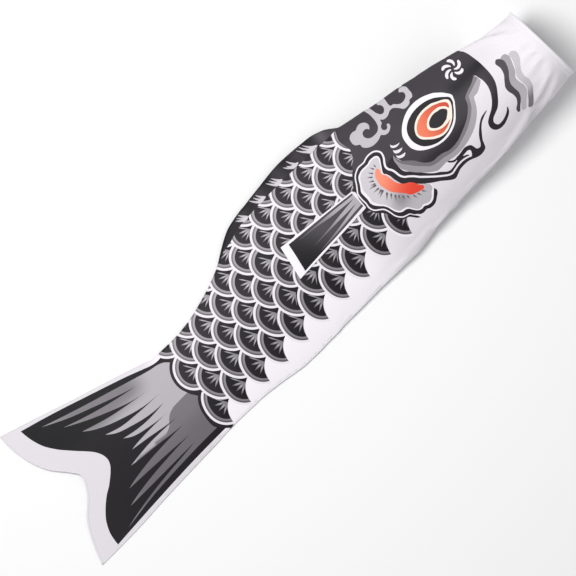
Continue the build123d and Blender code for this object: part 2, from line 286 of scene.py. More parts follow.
class Drape:
    """How far the draped cloth lies from the plain tube, on a grid of stations and shares across."""

    def __init__(self):
        self.rows = np.linspace(HEM_BACK_X, TAIL_X, int((HEM_BACK_X - TAIL_X) / ROW_STEP) + 1)
        share = np.linspace(0, 1, ACROSS + 1)
        self.rest = {}
        for upper in (True, False):
            grid_x, grid_f = np.meshgrid(self.rows, share, indexing="ij")
            flat_x = grid_x.ravel()
            length = grid_f.ravel() * ARCS[upper].width(flat_x)
            t = ARCS[upper].t_at(flat_x, length)
            self.rest[upper] = tube_point(flat_x, t, upper).reshape(grid_x.shape + (3,))
        self.move = {side: np.zeros_like(rest) for side, rest in self.rest.items()}

    def simulate(self):
        """Lets the tube settle: the hoop holds its mouth, air fills it and the floor carries it."""
        ring = np.concatenate([self.rest[True], self.rest[False][:, -2:0:-1]], axis=1)
        count_rows, count_ring = ring.shape[:2]
        index = np.arange(count_rows * count_ring).reshape(count_rows, count_ring)
        turn = np.roll(index, -1, axis=1)
        quads = np.stack([index[:-1], turn[:-1], turn[1:], index[1:]], -1).reshape(-1, 4)
        mesh = bpy.data.meshes.new("drape")
        mesh.from_pydata((ring.reshape(-1, 3) * MM).tolist(), [], quads.tolist())
        cloth = bpy.data.objects.new("drape", mesh)
        bpy.context.scene.collection.objects.link(cloth)
        hold = cloth.vertex_groups.new(name="hold")
        weight = np.full(ring.shape[:2], 0.03)
        weight[:, (0, ACROSS)] = 0.5
        weight[:, (1, ACROSS - 1, ACROSS + 1, -1)] = 0.2
        tail = self.rows < -300
        weight[tail] = np.maximum(weight[tail], 0.3)
        weight[:4] = np.maximum(weight[:4], np.array([1.0, 0.7, 0.35, 0.15])[:, None])
        for value in np.unique(weight):
            hold.add(index[weight == value].ravel().tolist(), float(value), "REPLACE")
        modifier = cloth.modifiers.new("cloth", "CLOTH")
        settings = modifier.settings
        settings.quality = 7
        settings.mass = 0.15
        settings.tension_stiffness = settings.compression_stiffness = 25
        settings.shear_stiffness = 12
        settings.bending_stiffness = 0.6
        settings.air_damping = 2.0
        settings.vertex_group_mass = "hold"
        settings.pin_stiffness = 1.0
        settings.shrink_min = -0.012
        settings.use_pressure = True
        settings.uniform_pressure_force = 0.35
        settings.effector_weights.gravity = 0.5
        modifier.collision_settings.distance_min = 0.0012
        modifier.collision_settings.use_self_collision = False
        bpy.ops.mesh.primitive_plane_add(size=3.0, location=(0, 0, -0.0012))
        ground = bpy.context.object
        ground.modifiers.new("ground", "COLLISION")
        ground.collision.thickness_outer = 0.001
        scene = bpy.context.scene
        for frame_number in range(1, SETTLE_FRAMES + 1):
            scene.frame_set(frame_number)
        settled = cloth.evaluated_get(bpy.context.evaluated_depsgraph_get()).to_mesh()
        found = np.zeros(len(settled.vertices) * 3)
        settled.vertices.foreach_get("co", found)
        scene.frame_set(1)
        for thing in (cloth, ground):
            bpy.data.objects.remove(thing)
        found = found.reshape(count_rows, count_ring, 3) / MM
        move = found - ring
        move[0] = 0
        reach = np.linalg.norm(move, axis=-1, keepdims=True)
        move *= np.where(reach > 0, FARTHEST * np.tanh(reach / FARTHEST) / np.maximum(reach, 1e-9), 1.0)
        calm = ease((-60 - self.rows) / 180)[:, None, None]
        for k in range(SMOOTH_ROUNDS):
            share = np.full_like(calm, 0.55) if k == 0 else calm
            near = (np.roll(move, 1, 1) + np.roll(move, -1, 1)) / 4
            near[1:-1] += (move[:-2] + move[2:]) / 4
            near[0] += move[0] / 2
            near[-1] += move[-2] / 2
            move = move * (1 - share) + near * share
        move[0] = 0
        self.move[True] = move[:, :ACROSS + 1].copy()
        self.move[False] = np.concatenate([move[:, :1], move[:, :ACROSS - 1:-1]], axis=1)
        seam_z = section(self.rows)[2][:, None]
        above, below = self.move[True][..., 2], self.move[False][..., 2]
        above[:] = np.maximum(above, -MOST_SAG * (self.rest[True][..., 2] - seam_z))
        below[:] = np.minimum(below, MOST_SAG * (seam_z - self.rest[False][..., 2]))
        below[:] = np.maximum(below, section(self.rows)[4][:, None] - self.rest[False][..., 2])

    def at(self, x, t, upper):
        """Draped points at stations x and t of one panel."""
        point = tube_point(x, t, upper)
        share = ARCS[upper].along(x, t) / np.maximum(ARCS[upper].width(x), 1e-9)
        point = point + cubic_grid(
            self.move[upper], (self.rows[0] - x) / (self.rows[0] - self.rows[1]), share * ACROSS)
        point[:, 2] += (1 if upper else -1) * crease_height(point[:, :2])
        return point

    def undraped(self, plan):
        """Where on the plain tube points have to be for the drape to bring them to their plan."""
        at = plan.copy()
        for _ in range(5):
            x, t = station_of(at)
            at = at + 0.9 * (plan - self.at(x, t, True)[:, :2])
        return at


def cubic_grid(grid, row, column):
    """Catmull-Rom lookup in a grid of vectors."""
    def weights(f, count):
        i = np.clip(np.floor(f).astype(int), 0, count - 2)
        u = f - i
        w = np.stack([-0.5 * u + u * u - 0.5 * u ** 3, 1 - 2.5 * u * u + 1.5 * u ** 3,
                      0.5 * u + 2 * u * u - 1.5 * u ** 3, -0.5 * u * u + 0.5 * u ** 3], -1)
        return np.clip(i[:, None] + np.arange(-1, 3), 0, count - 1), w
    ri, rw = weights(np.clip(row, 0, grid.shape[0] - 1), grid.shape[0])
    ci, cw = weights(np.clip(column, 0, grid.shape[1] - 1), grid.shape[1])
    found = grid[ri[:, :, None], ci[:, None, :]]
    return (found * (rw[:, :, None] * cw[:, None, :])[..., None]).sum((1, 2))


# ---------------------------------------------------------------- print: outlines
def outline(text, step=1.8, closed=True):
    """Smooth line through given points; a point with a star is a sharp corner."""
    words = text.split()
    sharp = np.array([word.endswith("*") for word in words])
    knots = np.array([[float(v) for v in word.rstrip("*").split(",")] for word in words])
    return smooth(knots, sharp, step, closed)


def smooth(knots, sharp, step=1.8, closed=True):
    count = len(knots)
    sharp = np.array(sharp).copy()
    if not closed:
        sharp[0] = sharp[-1] = True
    before, after = np.roll(knots, 1, 0), np.roll(knots, -1, 0)
    reach_in = np.linalg.norm(knots - before, axis=1, keepdims=True)
    reach_out = np.linalg.norm(after - knots, axis=1, keepdims=True)
    way = (knots - before) / reach_in * reach_out + (after - knots) / reach_out * reach_in
    way /= reach_in + reach_out
    points = []
    for i in range(count if closed else count - 1):
        j = (i + 1) % count
        span = np.linalg.norm(knots[j] - knots[i])
        chord = knots[j] - knots[i]
        start = chord if sharp[i] else way[i] * span
        end = chord if sharp[j] else way[j] * span
        if sharp[i] and not sharp[j]:
            start = 1.5 * chord - 0.5 * end
        if sharp[j] and not sharp[i]:
            end = 1.5 * chord - 0.5 * start
        u = np.arange(0, 1, 1 / max(int(math.ceil(span / step)), 1))[:, None]
        points.append((2 * u ** 3 - 3 * u ** 2 + 1) * knots[i] + (u ** 3 - 2 * u ** 2 + u) * start
                      + (3 * u ** 2 - 2 * u ** 3) * knots[j] + (u ** 3 - u ** 2) * end)
    if not closed:
        points.append(knots[-1:])
    return np.concatenate(points)


def stroke(text, widths, step=1.8):
    """Closed outline of a brush line along given points; widths are spread evenly along it."""
    line = outline(text, step, closed=False)
    way = np.gradient(line, axis=0)
    way /= np.linalg.norm(way, axis=1, keepdims=True)
    side = np.stack([-way[:, 1], way[:, 0]], 1)
    run = np.concatenate([[0], np.cumsum(np.linalg.norm(np.diff(line, axis=0), axis=1))])
    half = np.interp(run / run[-1], np.linspace(0, 1, len(widths)), widths)[:, None] / 2
    return np.concatenate([line + side * half, (line - side * half)[::-1]])


def inside(loop, points):
    """Which points lie inside a closed loop."""
    result = np.zeros(len(points), bool)
    low, high = loop.min(0), loop.max(0)
    near = np.flatnonzero(((points >= low) & (points <= high)).all(1))
    if not len(near):
        return result
    x, y = points[near, 0][:, None], points[near, 1][:, None]
    x0, y0 = loop[:, 0], loop[:, 1]
    x1, y1 = np.roll(x0, -1), np.roll(y0, -1)
    for part in np.array_split(np.arange(len(near)), max(len(near) * len(loop) // 4000000, 1)):
        crosses = (y0 > y[part]) != (y1 > y[part])
        with np.errstate(divide="ignore", invalid="ignore"):
            at = x0 + (y[part] - y0) * (x1 - x0) / (y1 - y0)
        result[near[part]] = (crosses & (x[part] < at)).sum(1) % 2 == 1
    return result


def ease(v):
    v = np.clip(v, 0, 1)
    return v * v * (3 - 2 * v)


def grey(level, warm=0.0):
    """Ink colour of one brightness with the print's faint lilac cast."""
    level = np.asarray(level, float)
    return np.stack([level + 1.5 + warm, level - 2.5, level + 3.0 - warm], -1)


def plain(level, warm=0.0):
    return lambda p: np.broadcast_to(grey(level, warm), (len(p), 3))


def fade(start, end, colour_a, colour_b):
    """Ink that goes from one colour to another between two points."""
    a, b = np.array(start, float), np.array(end, float)
    ca, cb = np.array(colour_a, float), np.array(colour_b, float)

    def colour(p):
        share = ease(((p - a) @ (b - a)) / ((b - a) @ (b - a)))[:, None]
        return ca + (cb - ca) * share
    return colour


REGIONS = []       # painted in this order: loop, edge line, ink


def paint(loop, ink, edge=None):
    line = np.concatenate([loop, loop[:1]]) if edge is None else edge
    REGIONS.append((lowered(loop), lowered(line), ink))


def lowered(line):
    """A line with its belly side brought a little nearer to the belly seam."""
    return line - np.stack([0 * line[:, 1], 2.2 * ease((-45 - line[:, 1]) / 35)], 1)


# ---------------------------------------------------------------- print: tail
TAIL_BLACK = (
    "-229.2,35.5* -238.3,34.7 -248.3,36.3 -260,40.3 -288.3,50.2 -321.7,60.5 -355,70.5 -388.3,80.5"
    " -421.7,89.7 -455.8,98.3* -455,89.7 -453.3,79.7 -450,68 -445.8,58 -440,48.8 -433.3,39.7"
    " -425,30.5 -415,19.7 -406.7,11.3 -399.2,3 -394.2,-4.5 -390.8,-13.7 -390.8,-22 -394.2,-29.5"
    " -400,-36.2 -408.3,-43.7 -416.7,-50.3 -426.7,-56.2 -436.7,-63.7 -446.7,-72.8 -453.3,-80.3"
    " -459.2,-90.3 -463.3,-100.3 -465.3,-110.3 -466.3,-120.3* -421.7,-116.2 -371.7,-112"
    " -338.3,-109.5 -305,-107.3 -271.7,-105.7 -229.2,-104.5* -215,-85* -200,-40* -205,10* -212,22*")
TAIL_GREY = (
    "-232,27* -226,21.5 -222.9,17.9* -225,12.9 -231.4,4.3 -236.4,-4.3 -239.3,-14.3 -238.6,-24.3"
    " -235,-34.3 -229.3,-42.9 -227.9,-45.7* -232.9,-51.4 -238.6,-60 -242.1,-70 -243.6,-80"
    " -242.9,-90 -240.7,-95* -271.7,-95.8 -305,-97.5 -338.3,-99.8 -371.7,-102.8 -405,-107.3"
    " -437.5,-112.5* -405,-105 -371.7,-99 -338.3,-94.5 -305,-91 -278.3,-87.8*"
    " -315,-88.8 -348.3,-89.8 -381.7,-90.8 -413.3,-91.5* -398.3,-87.8 -365,-82 -331.7,-78.3"
    " -298.3,-75.8 -277.5,-74.8* -315,-73.3 -348.3,-72.5 -381.7,-72 -396.7,-71.7* -381.7,-68.3"
    " -348.3,-63.3 -315,-60.7 -274.2,-59* -291.7,-57.8 -325,-54.5 -358.3,-52 -371.7,-50.7*"
    " -358.3,-48.7 -325,-45.3 -308.3,-45 -272.5,-45.3* -291.7,-43.3 -325,-38.3 -341.7,-36.2"
    " -354.2,-34.5* -341.7,-32.8 -308.3,-30.8 -275.8,-30.3* -296.7,-29.5 -313.3,-27.3"
    " -341.7,-20.3 -352.5,-13.7* -341.7,-15.8 -313.3,-19 -296.7,-18.7 -272.5,-16.2*"
    " -296.7,-15.3 -330,-8.7 -358.3,1.3 -368.3,8.8* -345,1.8 -313.3,-1.2 -266.7,-2* -296.7,0"
    " -330,8 -363.3,19.7 -378.3,27.2 -390,35.5* -378.3,32.2 -346.7,23.8 -313.3,18 -276.7,13.3*"
    " -305,18 -338.3,28.8 -371.7,42.2 -405.8,58.8* -371.7,48.3 -338.3,39.7 -305,33 -268.3,27.2*"
    " -288.3,30.5 -321.7,40 -355,51.3 -388.3,63 -429.2,81.7* -388.3,69.3 -355,59.7 -321.7,50.8"
    " -288.3,41.7 -255,33 -238.3,29.7")


TAIL_STEP = "-215,-30* -236,-29.5 -254,-30 -267,-31 -277,-34.5 -284,-40 -289,-46 -300,-52*"


def tail_grey(p):
    """Light above and dark below the middle of the tail, paler at the tips of the rays."""
    x, y = p[:, 0], p[:, 1]
    light = 178 - 54 * ease((y - 4) / 30) * ease((-258 - x) / 45)
    dark = 116 - 12 * ease((-44 - y) / 36)
    step = outline(TAIL_STEP, closed=False)[::-1]
    level = np.where(y > np.interp(x, step[:, 0], step[:, 1]), light, dark)
    level = level + (172 - level) * 0.55 * ease((-338 - x - 0.55 * np.abs(y + 16)) / 45)
    return grey(level)


def print_tail():
    paint(outline(TAIL_BLACK), lambda p: grey(19 - 15 * ease((p[:, 1] - 10) / 40)))
    paint(outline(TAIL_GREY), tail_grey)


# ---------------------------------------------------------------- print: scales
# Rows of scales from belly to back: x of each tip, and the row's own line as x, y pairs.
ROWS = [
    ([-195.7, -156.4, -115, -74.3, -30.7, 11.9, 56.3, 99.4, 144.4, 188],
     [(-196, -77.1), (-115, -70.7), (-31, -65.7), (56, -61.9), (144, -58.1), (188, -57)]),
    ([-177.1, -135.7, -94.3, -52.1, -10.7, 31.9, 76.3, 120, 163.5],
     [(-177, -41.4), (-94, -36.7), (-11, -30.5), (32, -28.8), (120, -26.3), (164, -25)]),
    ([-194.3, -154.3, -113.6, -70.7, -27.9, 14.5, 57.5, 100.5, 143.5],
     [(-194, -12.1), (-114, -6.6), (-28, -2.1), (15, -0.5), (100, 1), (144, 1)]),
    ([-170.7, -130.7, -87.9, -46.4, -3.6, 39.5, 82, 123.6, 165.6],
     [(-171, 20.7), (-88, 22.9), (-46, 25), (-4, 28.4), (82, 29.5), (124, 28), (166, 28)]),
    ([-192, -149, -106.4, -62.9, -19.3, 24.3, 66.4, 108.6, 150.7, 193],
     [(-192, 50), (-149, 52), (-106, 53.6), (-63, 54.3), (-19, 57.1), (66, 56.9), (193, 56)]),
    ([-125, -82, -38.6, 5, 47.1, 90, 132.9, 174.3, 217],
     [(-125, 79), (-82, 80), (-39, 81.4), (5, 82.9), (47, 84.7), (217, 84)]),
    ([-60, -17, 26, 68.5, 111.5, 153.6, 196],
     [(-60, 108), (-17, 110), (26, 111), (196, 112)]),
]
SCALE_A, ROW_GAP, TIP_TO_CENTRE = 31.7, 30.0, 10.8
SCALE_RINGS = (0.0, 3.6, 6.0, 8.9)      # how far in from the rim each ring of ink begins
# Burst of rays in each scale, from its point, as offsets from the scale's tip.
BURST = (
    "-7.7,-1.4* -10.2,2.4 -13.2,7 -16.2,11.6 -20.4,16* -17.6,10.8 -14.8,6.6 -12.4,3*"
    " -15.6,4.1 -20,5.8 -25.2,7* -21.6,4 -17.6,2.2 -13.2,0.9* -17,0.3 -21.8,-0.4 -27.2,-1.5*"
    " -21.8,-2.4 -17,-2.7 -13.2,-3* -17.4,-4.9 -21.2,-7.2 -25,-10* -20.4,-8.6 -16,-6.8"
    " -12.6,-5.2* -14.8,-8.2 -17.2,-12 -20.2,-16.4* -16.4,-12.2 -13.4,-8.6 -10.2,-4.8")


def row_y(row, x):
    line = np.array(ROWS[row][1])
    return float(np.interp(x, line[:, 0], line[:, 1]))


def half_disc(centre, a, up, down, arc=105, step=2.0):
    """A scale's disc as a full loop, and the part of its edge that can show."""
    def curve(low, high):
        angle = np.radians(np.arange(low, high + 0.01, math.degrees(step / a)))
        b = np.where(np.sin(angle) > 0, up, down)
        return centre + np.stack([-a * np.cos(angle), b * np.sin(angle)], 1)
    return curve(-180, 180 - math.degrees(step / a)), curve(-arc, arc)


def burst_ink(tip, root, core, far):
    """Ink of one burst: greyer at its root, brightest along the rays, dark at their ends."""
    return lambda p: grey(np.interp(tip - p[:, 0], [8, 12, 17, 27], [root, root, core, far]))


def print_scales():
    scales = []
    for row, (tips, _) in enumerate(ROWS):
        for x in tips:
            y = row_y(row, x)
            up = (row_y(row + 1, x) - y if row < 6 else 28.0) / ROW_GAP * SCALE_A
            down = (y - row_y(row - 1, x) if row else 32.0) / ROW_GAP * SCALE_A
            scales.append((x, y, up, down, row))
    below = [(tips + 21.0, row_y(0, tips + 21.0) - 32.5) for tips in ROWS[0][0]]
    scales += [(x, y, 32.5 / ROW_GAP * SCALE_A, 33.0, -1) for x, y in below]
    for x, y, up, down, row in sorted(scales):
        if x < -190 and row in (0, 2):
            loop, edge = half_disc((x - TIP_TO_CENTRE, y), SCALE_A + 4.6, up + 4.6, down + 4.6)
            paint(loop, plain(30), edge)
        if row < 0:
            loop, edge = half_disc((x - TIP_TO_CENTRE, y), SCALE_A, up, down)
            paint(loop, bare, edge)
            continue
        depth = np.clip(row / 3.0, 0, 1)
        ring_inks = (
            plain(234),
            fade((x, y - 30), (x, y + 30), grey(84 + 22 * depth), grey(98 + 28 * depth)),
            fade((x, y - 30), (x, y + 30), grey(124 + 26 * depth, 1), grey(140 + 30 * depth, 1)),
            fade((x - 42, y), (x, y), grey(28 + 14 * depth), grey(8 + 14 * depth)),
        )
        for inset, ink in zip(SCALE_RINGS, ring_inks):
            loop, edge = half_disc(
                (x - TIP_TO_CENTRE, y), SCALE_A - inset, up - inset, down - inset)
            paint(loop, ink, edge)
        burst = outline(BURST, 1.6) * (1, (up + down) / 2 / SCALE_A) + (x, y)
        paint(burst, burst_ink(x, 126 + 26 * depth, 162 + 26 * depth, 76 + 34 * depth))


# ---------------------------------------------------------------- print: back and head
BACK_BAND = ("-72,76* -64,80.5 -56,84.5 -44,86.8 -32.9,89.6 -26.4,92 -12.9,95.5 0,97 20,98.7"
             " 31,100 57,100.7 100,101.4 150,101.4 189,101.9 200,104* 200,145* -72,145*")
# Blades of the back's tufts, each from its tip to its root.
BACK_BLADES = [
    "-10.7,105.7 -6,101.5 -2,98.5 0,96.8", "-7,107.4 -2,102.5 2.5,98.5 3.5,96.8",
    "-2.1,109.6 1,104.5 5,99.5 6.5,97", "24.3,113.8 28,108.5 32.8,103 35.5,100.6",
    "32,112.6 34.5,107.5 38.5,102.8 41,100.6", "37,113.2 39.6,108 43.4,103.2 45.4,101",
    "60,115.2 63.5,110.5 68.2,104.5 71,101.6", "66,115 68.5,110.5 72.6,105 75.4,101.8",
    "70.6,115.6 73.6,110.5 77.6,105 81,102.2", "94.6,114.8 98.6,110 103.8,106 106.4,104",
    "104.4,118.8 106.4,113.6 109.6,108.4 112.4,104.2", "99.8,113 102.4,109.4 106,106.4 109,104.2",
    "126,119.8 130.4,113.4 136,107.4 140,104", "132.4,120.6 135.4,114.6 140,108.6 144.6,104.2",
    "137.6,119.2 141.4,113.4 146.6,107.6 152.6,103.6"]
BACK_ROOTS = [
    "-3,98.6 -1,96 5,96 7.6,97.4 5,99.6 0,100.2",
    "32,103 33.6,100.2 44,100.2 47,101 44,103.6 38,104.6",
    "68,104.4 69.4,101.4 80,101.4 82,102.6 79,105 73,106",
    "102,106 104,103.6 115,103.6 116.6,104.6 112,107.4 107,108.4",
    "135.6,106.4 137,103.4 152,103 154.6,103.6 150,107 142,109"]
# The edge of the dark cheek, from the mouth round under the eye.
CHEEK_EDGE = (
    "391,19.5* 380,13 370,9.5 360,4 356,-5 350,-12 340,-20 330,-25.5 320,-30 310,-33.8"
    " 300,-35.6 290,-35.5 280,-32 272,-31 262,-30.5 255,-27 248,-20 243,-12 236,-5 229,1")
HEAD = (
    "188.6,102* 187,135* 300,118* 404,72* 401,60* 404.5,57 407.5,50 409.5,40 411,30 411.5,20"
    " 411.5,10 410.5,0 408.5,-8 404.5,-16 398,-25 391,-33.5 384,-39.5 376,-43 370,-46 366.5,-50"
    " 366.5,-54 369,-57 375,-57.5 382,-56 388,-53.5 392,-51 395.5,-47.5* 396.5,-48* 394.5,-53"
    " 390,-57 384,-60 376,-62.5 369,-63 363,-61.5 359,-58.5 357,-54 357.5,-49.5 360,-45 365,-41"
    " 372,-37 378,-33 384,-27.5 389,-21 393,-14 395.5,-7 396.5,0 396.3,6 394.5,13 393,18.5 "
    + CHEEK_EDGE
    + " 225,10 221,4* 216,-12* 210.7,-5.5 209.1,0.9 205.9,6.4 205.5,10.5 208.2,16.4 212.3,21.8"
    " 214.7,27.3 215,32.3 212.7,36.2 208.2,39.8 202.7,41.1 196.4,41.1 190.9,39.8 187.3,38.2"
    " 180.5,38.2 175.9,38.5 170,36.2* 167,40.5* 170,46 178,52 181,57 184.4,64.4 185,67.4"
    " 183.8,72.5 181.9,80 181.9,87.5 185,95")
JAW = (
    "225,16* 221,10 219.8,2 220.9,-11.8 227.3,-19.1 234.2,-26.7 240,-33.3 245.8,-40 252.5,-45.8"
    " 258.3,-49.2 262.5,-52.5 267.5,-56.3 271.7,-57.5 276.7,-57.1 283.3,-55.8 288.2,-54.6*"
    " 288.6,-53.6* 284.2,-53.3 280,-50.8 276.7,-46.3 277.1,-45* 279.2,-46.3 282.5,-49.2"
    " 286.7,-50.8 291.7,-50.4 298.3,-50 304.2,-48.8 310,-48.3 315,-49.6 319.2,-52.5 320.4,-56.7"
    " 321.7,-60.8 324.2,-62.1 327.5,-62.1 330.8,-59.2 333.3,-55 337.5,-49.2 343.3,-43.3"
    " 350,-37.5 356.7,-33.3 363.3,-31.3 370,-30.4* 370.2,-31.4* 361.7,-34.6 354.2,-38.3"
    " 348.3,-43.3 343.3,-49.2 339.2,-54.2 335.8,-59.2 334.2,-63.3 331.7,-67.9 326.7,-70"
    " 320,-70.8 313.3,-69.6 306.7,-67.1 300,-65.4 291.7,-65 283.3,-65.8 275,-68.8 269.2,-70.5"
    " 264.2,-68.8 258.3,-65 250,-59 241.7,-54.2 235,-50 230.9,-47.3 225.9,-42.7 220.9,-37.3"
    " 217.3,-31.8 210,-28.2 205.5,-22.7 203.6,-17.3 201.8,-10.9 200.9,-3.6 198.6,2.7 196.4,5.5*"
    " 205,12*")
GILL_BLACK = (
    "166.8,40.5* 163.6,38.6 159.5,34 154.5,28 149.5,21.4 145.9,15.5 143.9,9 143.5,1.8 143.5,-5.5"
    " 143.2,-12.7 144,-20 145.9,-24.5 149,-29.5 154.5,-34.5 158.2,-39 160,-44.5 161.8,-51"
    " 164.5,-56 170,-61.4 175.5,-63.6 180,-65 183.6,-68.6 188.2,-73.9 192.7,-76.6* 190.5,-72"
    " 187.3,-67.3* 190.9,-69.1 195.5,-73.2 200,-74.5 207.3,-74.1 212.7,-76.4 217.3,-76.8"
    " 223.6,-75.5 230,-71.4 235.5,-67.3 237.5,-64 236.4,-60.9* 235,-56* 226,-42* 204,-17*"
    " 197,5* 205,12* 212.3,21.8 214.7,27.3 215,32.3 212.7,36.2 208.2,39.8 202.7,41.1 196.4,41.1"
    " 190.9,39.8 187.3,38.2 180.5,38.2 175.9,38.5 171,38.8")
GILL_LINE = (
    "194,-75.8 191.8,-72.7 187.3,-67.3 183.6,-62.7 179.1,-61.4 173.6,-59.5 169.1,-55.5 165.9,-50"
    " 164.7,-44.5 163.2,-38.2 160.5,-32.7 155.5,-28.6 150,-24.5 147.3,-20 146.4,-14.5 147.4,-8.2"
    " 147,-1.8 147.3,5.5 148.6,10.9 151.8,15.5 156.4,21.8 160.9,29.1 165.5,33.6 170,36.2"
    " 175.9,38.3 180.5,38.2 187.3,38.2 190.9,39.6 196.4,41 202.7,41 208.2,39.6 212.5,36.2"
    " 214.8,32.3 214.5,27.3 212,21.8 208,16.4 205.4,10.5 205.9,6.4 209.1,0.9 210.7,-5.5"
    " 211.6,-11.8 214.8,-18 221,-22.8 226.6,-28 231.5,-33.8 238,-39.9 244.2,-45.5 251.7,-51.7"
    " 259.2,-57 265.5,-60.9 270.5,-62.4 277,-61.2 285,-59.7 293,-59.2 300,-60 309,-62.6")
GILL_LINE_WIDTHS = [0.6, 1.8, 2, 2, 2, 2, 2.1, 2.6, 3.2, 2.8, 3, 2.6, 2.2, 2.2]
LIP_POCKET = ("299.5,-55.5 305,-54.5 310,-54.4 313,-56.3 312.6,-58.8 310.9,-61.4 308.4,-63.9*"
              " 305.5,-62* 307,-59.9 304,-57.3")
LIP_LINE = "291,-56.9 297,-57.2 302,-58.6 306.3,-60.3"
FAN_WHITE = (
    "208.2,30 205.5,33.2 200,34.5 193.6,34.1 190,32.7 184.5,32.3 177.3,32.3 171.8,30.9"
    " 166.4,28.2 162.7,23.6 160,18.6 156.4,13.2 153.6,9.1 153,1.8 153.2,-5.5 152.3,-12.7"
    " 153.6,-17.3 158.2,-23.6 163.6,-29.1 166.8,-34.5 168.6,-40.9 170.9,-47.3 174.5,-51.8"
    " 179.1,-54.1 184.5,-54.7 188.6,-57.3 191.8,-61.8 196.4,-66.8 201.8,-69.1 207.3,-68.6"
    " 212.7,-70.9 217.3,-71.6 222.7,-70.5 229.1,-65.9 234.5,-60.9* 236.8,-56.5 236,-51"
    " 231.2,-47.4* 226,-42.8 221,-37.4 217.3,-31.9 210,-28.3 205.6,-22.8 203.7,-17.3 201.9,-10.9"
    " 201,-3.6 198.7,2.7 196.4,5.5 196.8,8.2 200,13.6 204.7,20.9 207.8,26.4")
FAN_GREY = (
    "206,28 203.5,31.3 199,32.2 193.6,31.7 190,30.4 184.5,30.1 177.3,30 171.8,28.4 166.8,24.8"
    " 163.6,20 160.5,14.5 157.7,9.1 157.3,1.8 157.1,-5.5 155.9,-12.7 158.2,-18.2 162.7,-24.5"
    " 166.8,-30 169.5,-36.4 171.4,-42.7 174.1,-48.2 177.3,-50.9 181.8,-51.8 186.8,-53.2"
    " 190.9,-57.3 194.5,-62.7 198.2,-66.2 202.7,-67.1 208.2,-65.9 212.7,-68 218.2,-69 224.5,-66.4"
    " 230,-60.9 233.6,-59.1* 235.4,-56.4 235,-51 230.9,-47.4* 225.8,-42.8 220.8,-37.4"
    " 217.2,-31.9 210,-28.3 205.4,-22.8 203.5,-17.3 201.6,-10.9 200.2,-3.6 197.4,2.7 194.8,5.5"
    " 195,8.2 198.2,13.8 202.8,21 205.4,26")
CRESCENT = (
    "193.8,18.8 188.8,16 184.4,11 182.3,5 181,-2.5 183,-12.5 186,-21 192.5,-29 200,-37.5"
    " 204.5,-44.5 212.5,-48 220,-50 225,-50.6 227.4,-47.5 224,-42.5 220,-35 216,-30 209,-26"
    " 204,-21 200.6,-15 199,-6 197,2.5 194,7.5 196,15")
# Soft ticks of the gill fan, each as near end x, y and far end x, y.
FAN_TICKS = [
    (194.6, 21, 194.8, 27), (190.6, 20.5, 187.2, 27), (185.2, 16.5, 180, 23.5),
    (181, 13.2, 174, 19.2), (178.6, 8, 170.8, 12.6), (177.6, 3.6, 169.5, 6),
    (177, 1.2, 163.8, 4), (177, -4.8, 165.4, -4.2), (178.2, -8.6, 168, -12),
    (179.4, -11, 166.4, -17), (181.2, -17.6, 171.8, -27), (184.4, -23, 178, -31),
    (187.6, -28.4, 180.6, -39), (191, -32.6, 186, -41), (194.8, -37, 191.6, -47),
    (199.6, -41.6, 199.4, -50), (206.4, -47.4, 209.2, -55.8), (212.8, -49.6, 217, -57),
    (220.6, -51, 225.4, -57.4), (199.5, -28, 201.5, -31)]
BAND_LIGHT = (
    "225,16* 221,10 219.8,2 220,-6 225,-16 231,-24 238,-31 245,-37.5 252.5,-43 258,-45.8 267,-46"
    " 276,-45.6 286,-47.5 296,-48.3 306,-47.5 317,-45.6 330,-41.5 340,-37 349,-31 357,-24"
    " 363,-16.5 367.5,-8.5 370,-4 378,-2.5 386,1.5 394.4,7.5* 393,18.5* "
    + CHEEK_EDGE
    + " 225.5,9")
BAND_MID = (
    "224.4,13* 223.6,8 225,0 232,-10 240,-20 246,-26 255,-34 265,-37 277,-38 290,-40.6 302,-40.6"
    " 315,-37 330,-31.5 340,-26 350,-19 358,-11 362,-4 366,3 373,5.5 381,8.5 393.6,13.4* "
    + CHEEK_EDGE
    + " 225.6,9")
EYE_WHITE = (
    "251.5,14 254,26 262,36 273,44 286,49.5 300,51.3 313,49.6 325.3,45 330.7,42.3 336.2,37.7"
    " 340.7,33.6 344.8,28.2 347.5,24.5 348.9,20.3 347.5,16.4 345.3,11.4 341.6,6.4 338,1.8"
    " 333.5,-3.2 328.9,-8.2 323.5,-12.3 318,-15.2 308,-18.8 296,-20.2 283,-18.5 272,-14.5"
    " 263,-9.5 256,-3 252,5")
EYE_RING = (
    "260,14 261.5,22 266,30 274,36.5 285,41 300,42.8 313,41.3 318,40 322.5,38.2 327.1,35.9"
    " 331.6,32.7 336.2,29.1 339.8,25.8 343.5,22.3 344.5,19.4 344.1,15.9 342.5,11.8 339.8,8.6"
    " 336.2,3.6 332.5,-0.5 328.5,-4.5 324.8,-7.7 320.7,-10.2 316,-12.5 308,-15.3 296,-17"
    " 284,-15.4 274,-11 266,-4.5 261.6,4")
EYE_CREAM = (
    "270,12 273,20 281,28 292,33 304,34.5 313,33.8 318,33 322.5,30.9 328,28.2 333.9,25.5"
    " 338,22.5 340.3,19.3 340.3,15.9 338.5,11.4 336.2,7.7 332.5,3.2 328.9,-0.9 325.3,-4.5"
    " 320.7,-7.5 316,-10 308,-13 298,-13.2 287,-9 278,-2 271.5,5")
